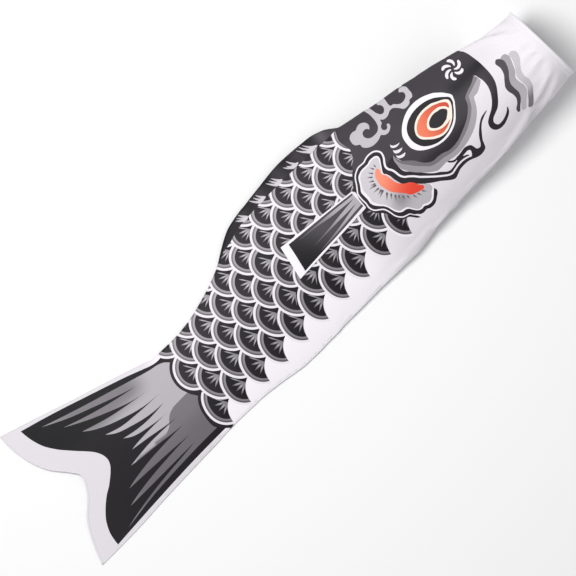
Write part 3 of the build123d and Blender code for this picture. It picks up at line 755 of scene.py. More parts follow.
EYE_ORANGE = (
    "273,12 276,19 284,26 294,30 304,31.2 312,30.3 318,29.1 322.5,27.3 327.1,25.5 331.6,22.7"
    " 334.8,20 336.2,16.8 335.4,13.4 333.4,10.2* 331.8,11.4* 331.2,14.1 329.4,16.8 326.2,19.1"
    " 322.5,21.4 316,22.6 306,22 297,18.5 291,13 289,8 290.5,4 295,0 303,-4 312,-5 319,-4"
    " 324,-2.8* 317,-6.5 309,-9.5 301,-10.5 292,-7.5 283,-2 276,5")
EYE_PUPIL = (
    "293,8 296,14 303,18 312,19.3 318,18.2 321.6,17.7 324.8,15.9 327.5,13.2 328.9,10.5"
    " 327.5,7.8 324.8,5.2 321.6,2.7 319.4,1 315,-0.3 310,-1.3 301,0 295.5,4")
CLOUD = (
    "193.8,72.5 195,77 198.8,80.6 205,82 211,81 215,83 220,84 225.6,82 229.4,78 229.8,73"
    " 226,67.8* 223.8,71.3 220,72.5 215.6,71.3 213,67 214.4,61 218.8,57.5 225,56.5 232.5,57.5"
    " 238,62 240.6,68.8 241.5,77.5 241,86 238,95* 246.9,99* 248.8,85 250.6,77.5 253.8,72.5"
    " 257.5,71.3 261,73 263.8,77.5 263,82.5 260,85.6 265,95* 273,95* 273,82.5 272,76 272.5,72"
    " 277.5,70.6 281,67 286,63.8 291,63.5 296,65 300,68.8 300,73.8 295.6,78 298.8,81.5 305,80.6"
    " 308.8,76 308.6,70 308,63.8 305,59.4 298.8,58.8 296,55.6 290,54 283.8,55 280,60 276,64.4"
    " 272.5,67 266,67 262.5,65 257.5,63.5 251,64.4 247.5,67.5 246,62.5 241,58.8 240,53.8"
    " 243.8,50.6 247,51.4 250,55.6 252.5,55 252.5,51 248.8,47.5 241,45 236,47 233,50 227.5,48"
    " 220,46.5 211,47.5 205,50.6 200.6,56 200.6,61 195.6,64.4 193.5,68.8")
CRESCENTS = [
    "232.5,30.4* 231,26 236,22 242.5,22 245.4,23* 238.8,24.4 235,26.3",
    "230,21.6* 229.2,16.3 233.8,13 240,13.3 243,15* 236,17 232,19.2",
    "228,13* 228,7.5 232.5,4.3 238,4.2 241.4,7* 235,7.9 230.8,9.6"]
PINWHEEL = [
    "381.4,49.8 383.2,55 381.4,60 377.8,62.6", "377.4,46.6 383,44.2 388,46.4 390.6,52.4",
    "374.8,42.6 378,37.8 382.6,36.4 387,38.8", "372.2,44.8 367.6,41.4 367,37.2 370.2,33.6",
    "374,49 367.4,49.8 362.8,46.8 361,42.4", "376.8,52.6 373,57 368.6,58.8 363.8,56.8"]
WHISKER_BACK = (
    "449,5 451,7.5 456,7.8 460.6,3.8 461,-1.3 458.8,-7.5 451,-17.5 447,-24 445.6,-31 447,-40"
    " 445.6,-49 438.8,-57.5 430,-67 426,-70 420,-69.4 418.6,-67.5* 424.4,-62.5 431,-54.4"
    " 436.5,-47.5 437,-40 436,-31 436.8,-24.5 441,-18 447,-6.5 449,0")
WHISKER_MIDDLE = (
    "436.5,10.5 440,12 446,11.3 448.8,5.6 448,0.6 445,-7 439.4,-19 434.4,-24.4 433.8,-32"
    " 435.6,-40 435,-47.5 428.8,-55 421.3,-61 415,-67 412,-67 408.8,-64.4* 416,-53 418.5,-40"
    " 418,-27 424,-16 433,-3 434,6")
WHISKER_FRONT = (
    "426.9,11 427.5,0 425,-9 417.5,-19 413,-26 412.5,-32.5 414.4,-40 414.4,-47.5 410,-54"
    " 403,-59.5 402.3,-63.6* 405.8,-64.4* 412.5,-58 420,-51 423,-44 422.5,-36 422.5,-27.5"
    " 426,-20 434,-10 437.5,-2.5 438.8,5 435.6,11.3 431,14")


def head_ink(p):
    """Slate of the head, darker on the snout's middle and along the jaw."""
    x, y = p[:, 0], p[:, 1]
    level = 62 - 26 * np.exp(-((y - 25) / 9.5) ** 2) * ease((x - 338) / 22)
    level = level - 22 * ease((-12 - y) / 18) - 16 * ease((x - 388) / 20) * ease((20 - y) / 20)
    return grey(level)


def fan_ink(p):
    x, y = p[:, 0], p[:, 1]
    level = 204 - 52 * np.exp(-((x - 190) / 14) ** 2 - ((y + 38) / 12) ** 2)
    return grey(level - 22 * ease((-30 - y) / 24))


def whisker_ink(p):
    level = 196 - 78 * ease((-44 - p[:, 1]) / 22)
    return grey(level)


def tick(x0, y0, x1, y1, width=2.0):
    """A tapered tick, blunt at its near end."""
    a, b = np.array([x0, y0]), np.array([x1, y1])
    way = (b - a) / np.linalg.norm(b - a)
    side = np.array([-way[1], way[0]]) * width / 2
    return smooth(np.array([a - side * 0.6, (a + b) / 2 - side, b, (a + b) / 2 + side, a + side * 0.6]),
                  [False, False, True, False, False], 1.2)


def print_head():
    # Black of the back: the soft lighter patches along the back edge are painted sheen, and the band
    # turns lighter towards the head.
    paint(outline(BACK_BAND), lambda p: grey(30 + 24 * np.cos(p[:, 0] / 13.0) ** 2
                                             * ease((p[:, 1] - 98) / 6)
                                             + 38 * ease((p[:, 0] - 152) / 16)))
    for text in BACK_BLADES:
        paint(stroke(text, [0.5, 2.2, 3.4, 3.8], 1.4), plain(196))
    for text in BACK_ROOTS:
        paint(outline(text, 1.4), plain(206))
    paint(outline(GILL_BLACK), plain(34))
    paint(outline(HEAD), head_ink)
    paint(outline(JAW), plain(40))
    paint(outline(BAND_LIGHT), fade((225, 0), (370, -10), grey(150), grey(168)))
    paint(outline(BAND_MID), fade((225, 0), (370, 5), grey(112), grey(126)))
    paint(stroke(GILL_LINE, GILL_LINE_WIDTHS), plain(238))
    paint(outline(LIP_POCKET, 1.2), plain(236))
    paint(stroke(LIP_LINE, [1.8, 1.4, 0.4], 1.2), plain(46))
    paint(outline(FAN_WHITE), plain(238))
    paint(outline(FAN_GREY), fan_ink)
    for ends in FAN_TICKS:
        paint(tick(*ends), fade(ends[:2], ends[2:], grey(92), grey(164)))
    paint(outline(CRESCENT), fade((188, 8), (218, -42), (248, 148, 118), (226, 70, 50)))
    paint(outline(EYE_WHITE), plain(243))
    paint(outline(EYE_RING), plain(34))
    paint(outline(EYE_CREAM), lambda p: np.broadcast_to((246.0, 236.0, 222.0), (len(p), 3)))
    paint(outline(EYE_ORANGE), fade((276, 24), (332, 12), (238, 128, 96), (204, 78, 58)))
    paint(outline(EYE_PUPIL), plain(38))
    paint(outline(CLOUD), fade((200, 60), (300, 70), grey(190), grey(196)))
    for text in CRESCENTS:
        paint(outline(text, 1.2), plain(232))
    for text in PINWHEEL:
        paint(stroke(text, [1.2, 3, 4, 4.4, 4.6, 4.4, 2.4], 1.0), plain(240))
    paint(outline(WHISKER_BACK), whisker_ink)
    paint(outline(WHISKER_MIDDLE), fade((430, -10), (418, -60), grey(164), grey(188)))
    paint(outline(WHISKER_FRONT), plain(72))


def prepared():
    """Regions with the part of each edge line that no later region covers."""
    points = np.concatenate([line for _, line, _ in REGIONS])
    owner = np.concatenate([np.full(len(line), i) for i, (_, line, _) in enumerate(REGIONS)])
    covered = np.zeros(len(points), bool)
    for i, (loop, _, _) in enumerate(REGIONS):
        below = np.flatnonzero(owner < i)
        covered[below] |= inside(loop, points[below])
    lines = []
    for i in range(len(REGIONS)):
        line, hidden = REGIONS[i][1], covered[owner == i]
        keep = ~(hidden[:-1] & hidden[1:])
        lines.append((line, keep))
    return lines


def ink_of(points, regions):
    """Index of the region that shows at each point, or -1 for bare cloth."""
    found = np.full(len(points), -1)
    for i, (loop, _, _) in enumerate(regions):
        found[inside(loop, points)] = i
    return found


def to_linear(rgb):
    v = np.clip(np.asarray(rgb, float) / 255, 0, 1)
    return np.where(v <= 0.04045, v / 12.92, ((v + 0.055) / 1.055) ** 2.4)


def bare(p):
    """Unprinted cloth: greyer along the tail hem, with painted shade over the rounded front of the
    body, deeper towards the belly side.
    """
    x, y = p[:, 0], p[:, 1]
    # painted shade: the rounded front darkens from x = 70 on, less near the mouth and more on the belly
    # side
    painted_shade = ease((x - 70) / 100) * (1 - 0.45 * ease((x - 415) / 50))
    level = 244 - 23 * ease((-225 - x) / 40) - 15 * painted_shade - 8 * painted_shade * ease((-35 - y) / 40)
    return grey(level)


def seen_through(colours):
    """The print as its dye shows on the back of the cloth."""
    return 0.42 * colours + 0.58 * grey(238)


def shade_corners(points, owner, regions):
    """Colours of each triangle's corners, from the region that owns the triangle."""
    points = points + 0.03 * (points.mean(1, keepdims=True) - points)
    colours = bare(points.reshape(-1, 2)).reshape(-1, 3, 3).copy()
    for i in np.unique(owner[owner >= 0]):
        mine = owner == i
        colours[mine] = regions[i][2](points[mine].reshape(-1, 2)).reshape(-1, 3, 3)
    return colours


# ---------------------------------------------------------------- cutting the cloth
def cut_triangles(border, lines, spacing, keep_off=1.3):
    """Triangles over a bordered piece of flat cloth whose edges follow every given line."""
    vertices, edges = [], []
    total = 0
    for line, keep, closed in [(border, None, True)] + [(a, k, False) for a, k in lines]:
        count = len(line)
        vertices.append(line)
        ends = np.stack([np.arange(count), np.arange(count) + 1], 1)
        if closed:
            ends[-1, 1] = 0
        else:
            ends = ends[:-1][keep] if keep is not None else ends[:-1]
        edges.append(ends + total)
        total += count
    vertices, edges = np.concatenate(vertices), np.concatenate(edges)
    used = np.zeros(len(vertices), bool)
    used[edges.ravel()] = True
    used[:len(border)] = True
    new = np.cumsum(used) - 1
    vertices, edges = vertices[used], new[edges]
    near = kdtree.KDTree(len(vertices))
    for i, (x, y) in enumerate(vertices):
        near.insert((x, y, 0), i)
    near.balance()
    low, high = border.min(0), border.max(0)
    rows = np.arange(low[1] + spacing / 2, high[1], spacing * 0.866)
    extra = []
    for k, y in enumerate(rows):
        for x in np.arange(low[0] + spacing * (0.5 + 0.5 * (k % 2)), high[0], spacing):
            if near.find((x, y, 0))[2] > keep_off:
                extra.append((x, y))
    extra = np.array(extra)
    extra = extra[inside(border, extra)]
    everything = np.concatenate([vertices, extra])
    result = geometry.delaunay_2d_cdt(
        [Vector(v) for v in everything.tolist()], edges.tolist(), [], 0, 0.02, False)
    points = np.array([tuple(v) for v in result[0]])
    faces = np.array([f for f in result[2] if len(f) == 3])
    middle = points[faces].mean(1)
    faces = faces[inside(border, middle)]
    a, b, c = (points[faces[:, k]] for k in range(3))
    area = (b[:, 0] - a[:, 0]) * (c[:, 1] - a[:, 1]) - (b[:, 1] - a[:, 1]) * (c[:, 0] - a[:, 0])
    faces[area < 0] = faces[area < 0][:, ::-1]
    return points, faces[np.abs(area) > 1e-6]


def two_walls(name, outer, inner, faces, colours, inner_colours, normals, uv, material):
    """A closed thin cloth mesh from one triangulated wall and its inner copy."""
    used = np.unique(faces)
    new = np.full(len(outer), -1)
    new[used] = np.arange(len(used))
    faces = new[faces]
    outer, inner, normals, uv = outer[used], inner[used], normals[used], uv[used]
    count = len(used)
    sides = np.concatenate([faces[:, (0, 1)], faces[:, (1, 2)], faces[:, (2, 0)]])
    side_colours = np.concatenate([colours[:, (0, 1)], colours[:, (1, 2)], colours[:, (2, 0)]])
    key = np.sort(sides, 1) @ np.array([count, 1])
    _, first, times = np.unique(key, return_index=True, return_counts=True)
    rim = first[times == 1]
    a, b = sides[rim, 0], sides[rim, 1]
    rims = np.stack([b, a, a + count, b + count], 1)
    rim_colours = side_colours[rim][:, (1, 0, 0, 1)]
    mesh = bpy.data.meshes.new(name)
    mesh.from_pydata((np.concatenate([outer, inner]) * MM).tolist(), [],
                     faces.tolist() + (faces[:, ::-1] + count).tolist() + rims.tolist())
    rgb = np.concatenate([
        colours.reshape(-1, 3), inner_colours[:, ::-1].reshape(-1, 3), rim_colours.reshape(-1, 3)])
    ink = mesh.color_attributes.new("ink", "FLOAT_COLOR", "CORNER")
    rgba = np.concatenate([to_linear(rgb), np.ones((len(rgb), 1))], 1)
    ink.data.foreach_set("color", rgba.astype(np.float32).ravel())
    corner = np.zeros(len(mesh.loops), np.int64)
    mesh.loops.foreach_get("vertex_index", corner)
    both = np.concatenate([uv, uv])
    weave = mesh.uv_layers.new(name="weave")
    weave.data.foreach_set("uv", (both[corner] / 100).astype(np.float32).ravel())
    spread = np.ptp(uv, axis=0)
    unit = (uv - uv.min(0)) / spread.max()
    gap = unit[:, 1].max() + 0.02
    laid = np.concatenate([unit, unit + (0, gap)]) / max(1.0, 2 * gap)
    bake = mesh.uv_layers.new(name="OFBake")
    bake.data.foreach_set("uv", laid[corner].astype(np.float32).ravel())
    mesh.uv_layers.active = weave
    weave.active_render = True
    mesh.polygons.foreach_set("use_smooth", np.ones(len(mesh.polygons), bool))
    mesh.materials.append(material)
    mesh.normals_split_custom_set_from_vertices(np.concatenate([normals, -normals]).tolist())
    thing = bpy.data.objects.new(name, mesh)
    bpy.context.scene.collection.objects.link(thing)
    return thing


# ---------------------------------------------------------------- materials
def blank_material(name):
    material = bpy.data.materials.new(name)
    material.use_nodes = True
    return material, material.node_tree, material.node_tree.nodes["Principled BSDF"]


def add_node(tree, kind, feed=None, **sockets):
    """A node with its sockets set; feed is an output and the name of the socket it goes into."""
    node = tree.nodes.new("ShaderNode" + kind)
    for name, value in sockets.items():
        node.inputs[name.replace("_", " ")].default_value = value
    if feed:
        tree.links.new(feed[0], node.inputs[feed[1]])
    return node


def shade_between(tree, shader, amount, dark, bright):
    shade = add_node(tree, "ValToRGB", (amount, "Fac"))
    shade.color_ramp.elements[0].color = (*dark, 1)
    shade.color_ramp.elements[1].color = (*bright, 1)
    tree.links.new(shade.outputs["Color"], shader.inputs["Base Color"])


def roughen_between(tree, shader, amount, low, high):
    spread = add_node(tree, "MapRange", (amount, "Value"), To_Min=low, To_Max=high)
    tree.links.new(spread.outputs["Result"], shader.inputs["Roughness"])


def raise_surface(tree, shader, height, strength, distance):
    bump = add_node(tree, "Bump", (height, "Height"), Strength=strength, Distance=distance)
    tree.links.new(bump.outputs["Normal"], shader.inputs["Normal"])


def satin(name):
    """Printed polyester satin: ink from the mesh, fine weave, soft sheen."""
    material, tree, shader = blank_material(name)
    ink = add_node(tree, "Attribute")
    ink.attribute_name = "ink"
    place = add_node(tree, "UVMap")
    place.uv_map = "weave"
    laid = place.outputs["UV"]
    grain = add_node(tree, "TexNoise", (laid, "Vector"), Scale=55.0, Detail=4.0)
    mottle = add_node(tree, "MapRange", (grain.outputs["Fac"], "Value"),
                      From_Min=0.3, From_Max=0.7, To_Min=0.955, To_Max=1.03)
    tint = add_node(tree, "VectorMath")
    tint.operation = "SCALE"
    tree.links.new(ink.outputs["Color"], tint.inputs[0])
    tree.links.new(mottle.outputs["Result"], tint.inputs["Scale"])
    tree.links.new(tint.outputs["Vector"], shader.inputs["Base Color"])
    weave = add_node(tree, "TexWave", (laid, "Vector"), Scale=60.0, Distortion=1.2, Detail=1.0)
    weave.wave_type = "BANDS"
    weave.bands_direction = "DIAGONAL"
    raise_surface(tree, shader, weave.outputs["Fac"], 0.06, 0.0003)
    roughen_between(tree, shader, grain.outputs["Fac"], 0.5, 0.62)
    shader.inputs["Specular IOR Level"].default_value = 0.22
    shader.inputs["Sheen Weight"].default_value = 0.03
    shader.inputs["Sheen Roughness"].default_value = 0.4
    return material


def white_thread():
    """Spun polyester thread: fine turns along the stitch."""
    material, tree, shader = blank_material("white thread")
    place = add_node(tree, "TexCoord")
    twist = add_node(tree, "TexNoise", (place.outputs["Object"], "Vector"), Scale=2600.0)
    shade_between(tree, shader, twist.outputs["Fac"], (0.62, 0.61, 0.63), (0.86, 0.85, 0.87))
    shader.inputs["Roughness"].default_value = 0.7
    return material


def hoop_metal(name, dark, bright, scale, rough):
    """Drawn or pressed metal of the hoop, with fine marks and small changes of tone."""
    material, tree, shader = blank_material(name)
    place = add_node(tree, "TexCoord")
    marks = add_node(tree, "TexNoise", (place.outputs["Object"], "Vector"), Scale=scale, Detail=6.0)
    shade_between(tree, shader, marks.outputs["Fac"], dark, bright)
    roughen_between(tree, shader, marks.outputs["Fac"], rough - 0.08, rough + 0.12)
    raise_surface(tree, shader, marks.outputs["Fac"], 0.1, 0.0001)
    shader.inputs["Metallic"].default_value = 1.0
    return material


# ---------------------------------------------------------------- panels
def fork_line(offset=0.0, step=2.5):
    knots = np.array(FORK) + (offset, 0)
    return smooth(knots, [False] * len(knots), step, closed=False)


def half_width(x):
    return ARCS[True].width(x) / 2


def panel_border():
    """Outline of one panel as flat cloth, with its fork cut."""
    fork = to_cloth(fork_line())
    top_x = np.arange(fork[0, 0] + 3, HEM_BACK_X, 3.0)
    bottom_x = np.arange(fork[-1, 0] + 3, HEM_BACK_X, 3.0)
    fork[0, 1] = half_width(fork[:1, 0])[0]
    fork[-1, 1] = -half_width(fork[-1:, 0])[0]
    mouth_half = half_width(np.array([HEM_BACK_X]))[0]
    mouth = np.linspace(mouth_half, -mouth_half, 72)
    return np.concatenate([
        fork[::-1],
        np.stack([top_x, half_width(top_x)], 1),
        np.stack([np.full(len(mouth), HEM_BACK_X), mouth], 1),
        np.stack([bottom_x, -half_width(bottom_x)], 1)[::-1],
    ])


def build_panels(drape, material):
    border = panel_border()
    lines = [(to_cloth(drape.undraped(line)), keep) for line, keep in prepared()]
    lines.append((to_cloth(drape.undraped(outline(TAIL_STEP, closed=False))), None))
    for text, wide, _ in CREASES:
        line = outline(text, 2.4, closed=False)
        way = np.gradient(line, axis=0)
        way /= np.linalg.norm(way, axis=1, keepdims=True)
        for share in (-1.4, -0.7, 0.0, 0.7, 1.4):
            beside = line + share * wide * np.stack([-way[:, 1], way[:, 0]], 1)
            lines.append((to_cloth(drape.undraped(beside)), None))
    width = ARCS[True].width(np.array([SPLIT_X]))[0]
    across = np.linspace(-width / 2 + 0.2, width / 2 - 0.2, 80)
    lines.append((np.stack([np.full(80, SPLIT_X), across], 1), None))
    cloth, faces = cut_triangles(border, lines, 4.6)
    t = cloth_t(cloth)
    plan = drape.at(cloth[:, 0], t, True)[:, :2]
    owner = ink_of(plan[faces].mean(1), REGIONS)
    colours = shade_corners(plan[faces], owner, REGIONS)
    through = seen_through(colours)
    body = cloth[faces][:, :, 0].mean(1) > SPLIT_X
    pieces = {}
    for upper, side in ((True, "right"), (False, "left")):
        outer = drape.at(cloth[:, 0], t, upper)
        step_x, step_t = 0.8, 0.004
        along = (drape.at(np.minimum(cloth[:, 0] + step_x, HEM_BACK_X), t, upper)
                 - drape.at(np.maximum(cloth[:, 0] - step_x, TAIL_X), t, upper))
        over = (drape.at(cloth[:, 0], np.minimum(t + step_t, 1), upper)
                - drape.at(cloth[:, 0], np.maximum(t - step_t, 0), upper))
        normals = np.cross(along, over)
        normals /= np.linalg.norm(normals, axis=1, keepdims=True)
        if not upper:
            normals = -normals
        gap = np.abs(outer[:, 2] - drape.at(cloth[:, 0], t, not upper)[:, 2])
        inner = outer - normals * np.clip(0.4 * gap, 0.02, WALL)[:, None]
        order = faces if upper else faces[:, ::-1]
        shades = colours if upper else colours[:, ::-1]
        faint = through if upper else through[:, ::-1]
        for part, mine in (("body", body), ("tail", ~body)):
            name = f"{side}_{part}_cloth"
            pieces[name] = two_walls(name, outer, inner, order[mine], shades[mine], faint[mine],
                                     normals, cloth, material)
    return pieces


# ---------------------------------------------------------------- strips, seams and hems
def facing_out(points, faces):
    """Whether a closed mesh's faces look outward."""
    volume = 0.0
    for face in faces:
        corner = points[face]
        for k in range(1, len(face) - 1):
            volume += np.dot(corner[0], np.cross(corner[k], corner[k + 1]))
    return volume > 0


def strip_faces(rings, closed, start=0, outward=True):
    rows, around = rings.shape[:2]
    index = np.arange(rows * around).reshape(rows, around)
    here, ahead = (index, np.roll(index, -1, 0)) if closed else (index[:-1], index[1:])
    faces = np.stack([here, np.roll(here, -1, 1), np.roll(ahead, -1, 1), ahead], -1).reshape(-1, 4)
    faces = [list(face) for face in faces]
    if not closed:
        faces += [list(index[0][::-1]), list(index[-1])]
    if facing_out(rings.reshape(-1, 3), faces) != outward:
        faces = [face[::-1] for face in faces]
    return [[int(i) + start for i in face] for face in faces]


def strip(name, shells, inks, material, closed=False):
    """A narrow sewn piece: shells of rings joined lengthwise, one ink per ring; the first faces out."""
    points, faces, tints, start = [], [], [], 0
    for k, rings in enumerate(shells):
        faces += strip_faces(rings, closed, start, outward=k == 0)
        points.append(rings.reshape(-1, 3))
        tints.append(np.repeat(inks, rings.shape[1], axis=0))
        start += len(points[-1])
    points, tints = np.concatenate(points), np.concatenate(tints)
    mesh = bpy.data.meshes.new(name)
    mesh.from_pydata((points * MM).tolist(), [], faces)
    corner = np.zeros(len(mesh.loops), np.int64)
    mesh.loops.foreach_get("vertex_index", corner)
    ink = mesh.color_attributes.new("ink", "FLOAT_COLOR", "CORNER")
    rgba = np.concatenate([to_linear(tints), np.ones((len(tints), 1))], 1)[corner]
    ink.data.foreach_set("color", rgba.astype(np.float32).ravel())
    weave = mesh.uv_layers.new(name="weave")
    flat = (points[:, :2] + points[:, 2:]) / 100
    weave.data.foreach_set("uv", flat[corner].astype(np.float32).ravel())
    mesh.polygons.foreach_set("use_smooth", np.ones(len(mesh.polygons), bool))
    mesh.materials.append(material)
    thing = bpy.data.objects.new(name, mesh)
    bpy.context.scene.collection.objects.link(thing)
    return thing


def oval(count, half_wide, half_high):
    angle = np.arange(count) / count * 2 * np.pi
    return half_wide * np.cos(angle), half_high * np.sin(angle)


def print_at(plan):
    """Printed colour at plan points."""
    owner = ink_of(plan, REGIONS)
    return shade_corners(np.repeat(plan[:, None], 3, axis=1), owner, REGIONS)[:, 0]


def build_seam(drape, name, t, low, high, wide, material):
    """Bound edge along the back or the belly, printed like the cloth beside it."""
    x = np.linspace(low, high, int((high - low) / 2.5) + 2)
    at = drape.at(x, np.full(len(x), t), True)
    way = np.gradient(at, axis=0)
    way /= np.linalg.norm(way, axis=1, keepdims=True)
    side = np.cross(way, (0, 0, 1)) * (1 if t < 0.5 else -1)
    up = np.cross(side, way) * (1 if t < 0.5 else -1)
    across, height = oval(10, wide / 2, 0.45)
    centre = at - side * (wide / 2 - 0.45)
    rings = (centre[:, None] + side[:, None] * across[None, :, None]
             + up[:, None] * height[None, :, None])
    rings[..., 2] = np.maximum(rings[..., 2], LEAST_Z)
    inks = print_at(at[:, :2] - side[:, :2] * 1.6)
    return strip(name, [rings], inks, material)


def mouth_axes():
    yaw = math.radians(MOUTH_YAW)
    out = np.array([math.cos(yaw), math.sin(yaw), 0.0])
    return np.array([MOUTH_X, MOUTH_Y, AXIS_Z]), out, np.array([-math.sin(yaw), math.cos(yaw), 0.0])


def mouth_ring(back, radius, angle):
    """Point so far behind the mouth, at a radius and an angle round its axis."""
    centre, out, side = mouth_axes()
    radius = np.asarray(radius)[..., None]
    return (centre - out * np.asarray(back)[..., None]
            + side * (radius * np.cos(angle)[..., None])
            + np.array([0, 0, 1.0]) * (radius * np.sin(angle)[..., None]))


STITCH_BACK, HOOP_BACK, HOOP_RING = 6.5, 1.9, 63.0
HEM_STITCHES, HEM_SKIN = 112, 63.72
TAIL_PITCH, FIN_PITCH = 4.2, 3.6


def hem_pucker(back, angle):
    """Small waves of the mouth hem, deepest on the stitch line."""
    slow = 0.16 * np.sin(7 * angle + 0.6) + 0.12 * np.sin(17 * angle + 2.1)
    fine = 0.16 * np.sin(HEM_STITCHES * angle) * np.exp(-((back - STITCH_BACK) / 2.6) ** 2)
    return np.clip((back - 2.5) / 4, 0, 1) * (slow + fine) - 0.22 * np.exp(
        -((back - STITCH_BACK) / 0.9) ** 2)


def build_mouth_hem(material):
    """Cloth turned in over the hoop: a rolled front edge with a tunnel, and a double band behind it."""
    profile = [(11.9, 63.72), (10.2, 63.86), (8.4, 63.84), (7.2, 63.8), (6.5, 63.76), (5.8, 63.8),
               (4.8, 63.95), (3.8, 64.3), (2.9, 64.72), (1.9, 64.86), (0.9, 64.6), (0.25, 63.9),
               (0.05, 63.0), (0.3, 62.0), (1.0, 61.35), (1.9, 61.1), (2.9, 61.35), (3.7, 61.95),
               (4.6, 62.65), (5.8, 62.92), (7.2, 62.95), (9.0, 62.9), (11.9, 62.95)]
    back, radius = (np.array(v)[None, :] for v in zip(*profile))
    angle = np.linspace(0, 2 * np.pi, 448, endpoint=False)[:, None]
    back = back + 0 * angle
    skin = mouth_ring(back, radius + hem_pucker(back, angle), angle + 0 * back)
    across, height = oval(14, 1.5, 1.5)
    tunnel = mouth_ring(HOOP_BACK + across + 0 * angle, HOOP_RING + height + 0 * angle,
                        angle + 0 * across)
    inks = np.repeat(grey(238)[None], len(angle), axis=0)
    return strip("mouth_hem_cloth", [skin, tunnel], inks, material, closed=True)


def build_tail_hem(drape, name, upper, material):
    """Rolled hem along the fork of one layer."""
    edge = fork_line(step=2.2)
    way = np.gradient(edge, axis=0)
    way /= np.linalg.norm(way, axis=1, keepdims=True)
    inward = np.stack([-way[:, 1], way[:, 0]], 1)
    if inward[:, 0].mean() < 0:
        inward = -inward
    middle = edge + inward * 1.4
    x, t = station_of(middle)
    height = drape.at(x, t, upper)[:, 2]
    height = height + 0.12 if upper else np.maximum(height + 0.2, 0.42)
    across, rise = oval(12, 1.7, 0.4)
    ripple = 0.10 * np.sin(np.arange(len(edge)) * 1.9) + 0.08 * np.sin(np.arange(len(edge)) * 0.73)
    rings = np.concatenate([
        middle[:, None] + inward[:, None] * (across[None, :, None] + 0.6 * ripple[:, None, None]),
        (height[:, None] + rise[None] * (1 + ripple[:, None]))[..., None]], axis=2)
    inks = np.repeat(grey(224)[None], len(edge), axis=0)
    piece = strip(name, [rings], inks, material)
    top = height + (0.42 if upper else -0.42)
    return piece, np.concatenate([middle + inward * 0.7, top[:, None]], 1)


# ---------------------------------------------------------------- fins
FIN_PLAN = "145,19.2* 78,25.2* 10.8,31.2* 5.6,4.4* 0.2,-22.4* 72,-17.6* 142.8,-12.9*"
FIN_BLACK = ("22.4,26.4* 65,23.5 102.5,20.7 144,16.9* 143.6,-8* 90,-13.2 52,-15.8 13.6,-19*"
             " 17.2,-2 20,12")
FIN_LIGHT = (
    "145,14.4* 140,14.6 102.5,17.6 65,19.4 37,20.2* 65,17.7 102.5,12.4 120,11.1 139.6,9.7*"
    " 120,7.4 102.5,5.2 77.5,1.9 47.5,-1.2* 77.5,0 102.5,0.8 120,1.3 137.6,2.1*"
    " 120,-1.5 102.5,-5.1 77.5,-9.3 50,-13.1* 80,-11.2 102.5,-8.7 120,-6.6 145,-4.1*")
FIN_BAND = "21.6,30.3* 10.8,31.3* 5.6,4.4* 0.1,-22.5* 12.8,-21.7* 17.4,4*"
FIN_TAPE = "145.2,17.6 143.6,18.4 142.2,15.6* 142.2,2* 141.8,-11.4* 143.5,-12* 144.4,3*"


def fin_regions():
    return [
        (outline(FIN_BLACK), None, fade((24, -16), (76, 14), grey(8), grey(72))),
        (outline(FIN_LIGHT), None, fade((60, 0), (118, 4), grey(112), grey(172))),
    ]


def body_height(drape, plan):
    """Height of the draped right panel under plan points."""
    at = plan.copy()
    for _ in range(4):
        x, t = station_of(at)
        found = drape.at(x, t, True)
        at = at + plan - found[:, :2]
    return found[:, 2]


def laid_piece(name, border, regions, height, thick, material, upper, spacing=4.0):
    """A flat piece laid over the body or under it: height gives its printed side."""
    border = outline(border, 3.0)
    lines = [(np.concatenate([loop, loop[:1]]), None) for loop, _, _ in regions]
    points, faces = cut_triangles(border, lines, spacing, 1.0)
    z = height(points)
    slope = np.stack([height(points + (0.8, 0)) - height(points - (0.8, 0)),
                      height(points + (0, 0.8)) - height(points - (0, 0.8))], 1) / 1.6
    normals = np.concatenate([-slope, np.ones((len(points), 1))], 1)
    normals /= np.linalg.norm(normals, axis=1, keepdims=True)
    if not upper:
        normals = -normals
    outer = np.concatenate([points, z[:, None]], 1)
    inner = outer - normals * thick
    owner = ink_of(points[faces].mean(1), regions)
    colours = shade_corners(points[faces], owner, regions)
    faint = seen_through(colours)
    if not upper:
        faces, colours, faint = faces[:, ::-1], colours[:, ::-1], faint[:, ::-1]
    return two_walls(name, outer, inner, faces, colours, faint, normals, points, material)


def build_fins(drape, material):
    """Each fin's cloth, its doubled end band and the tape that sews its root down."""
    def lie(points):
        share = np.clip((144 - points[:, 0]) / 140, 0, 1)
        wave = 0.35 * np.sin(points[:, 0] / 11) * np.sin(points[:, 1] / 17 + 1) * share
        return body_height(drape, points) + 0.75 + 1.1 * share + wave

    heights = {
        "right": (lie, lambda p: lie(p) + 0.32, lambda p: lie(p) + 0.3),
        "left": (lambda p: 0.12 + 0 * p[:, 0], lambda p: 0.04 + 0 * p[:, 0],
                 lambda p: 0.06 + 0 * p[:, 0]),
    }
    made = {}
    for side, (flat, band, tape) in heights.items():
        upper = side == "right"
        made[f"{side}_fin_cloth"] = laid_piece(
            f"{side}_fin_cloth", FIN_PLAN, fin_regions(), flat, 0.3, material, upper, 3.4)
        made[f"{side}_fin_end_band"] = laid_piece(
            f"{side}_fin_end_band", FIN_BAND, [], band, 0.3, material, upper)
        made[f"{side}_fin_root_tape"] = laid_piece(
            f"{side}_fin_root_tape", FIN_TAPE, [], tape, 0.28, material, upper, 2.0)
    return made, heights


# ---------------------------------------------------------------- stitches
def first_stitch(material):
    """One stitch of sewing thread, the pattern for all the others: a bead drawn out along X."""
    bpy.ops.object.select_all(action="DESELECT")
    bpy.ops.mesh.primitive_uv_sphere_add(segments=8, ring_count=5, radius=MM)
    bead = bpy.context.object
    bead.name = "stitch_pattern"
    bpy.ops.object.mode_set(mode="EDIT")
    bpy.ops.mesh.select_all(action="SELECT")
    bpy.ops.transform.rotate(value=math.pi / 2, orient_axis="Y")
    bpy.ops.transform.resize(value=(1.3, 0.3, 0.2))
    bpy.ops.object.mode_set(mode="OBJECT")
    bpy.ops.object.shade_smooth()
    bead.data.materials.append(material)
    return bead


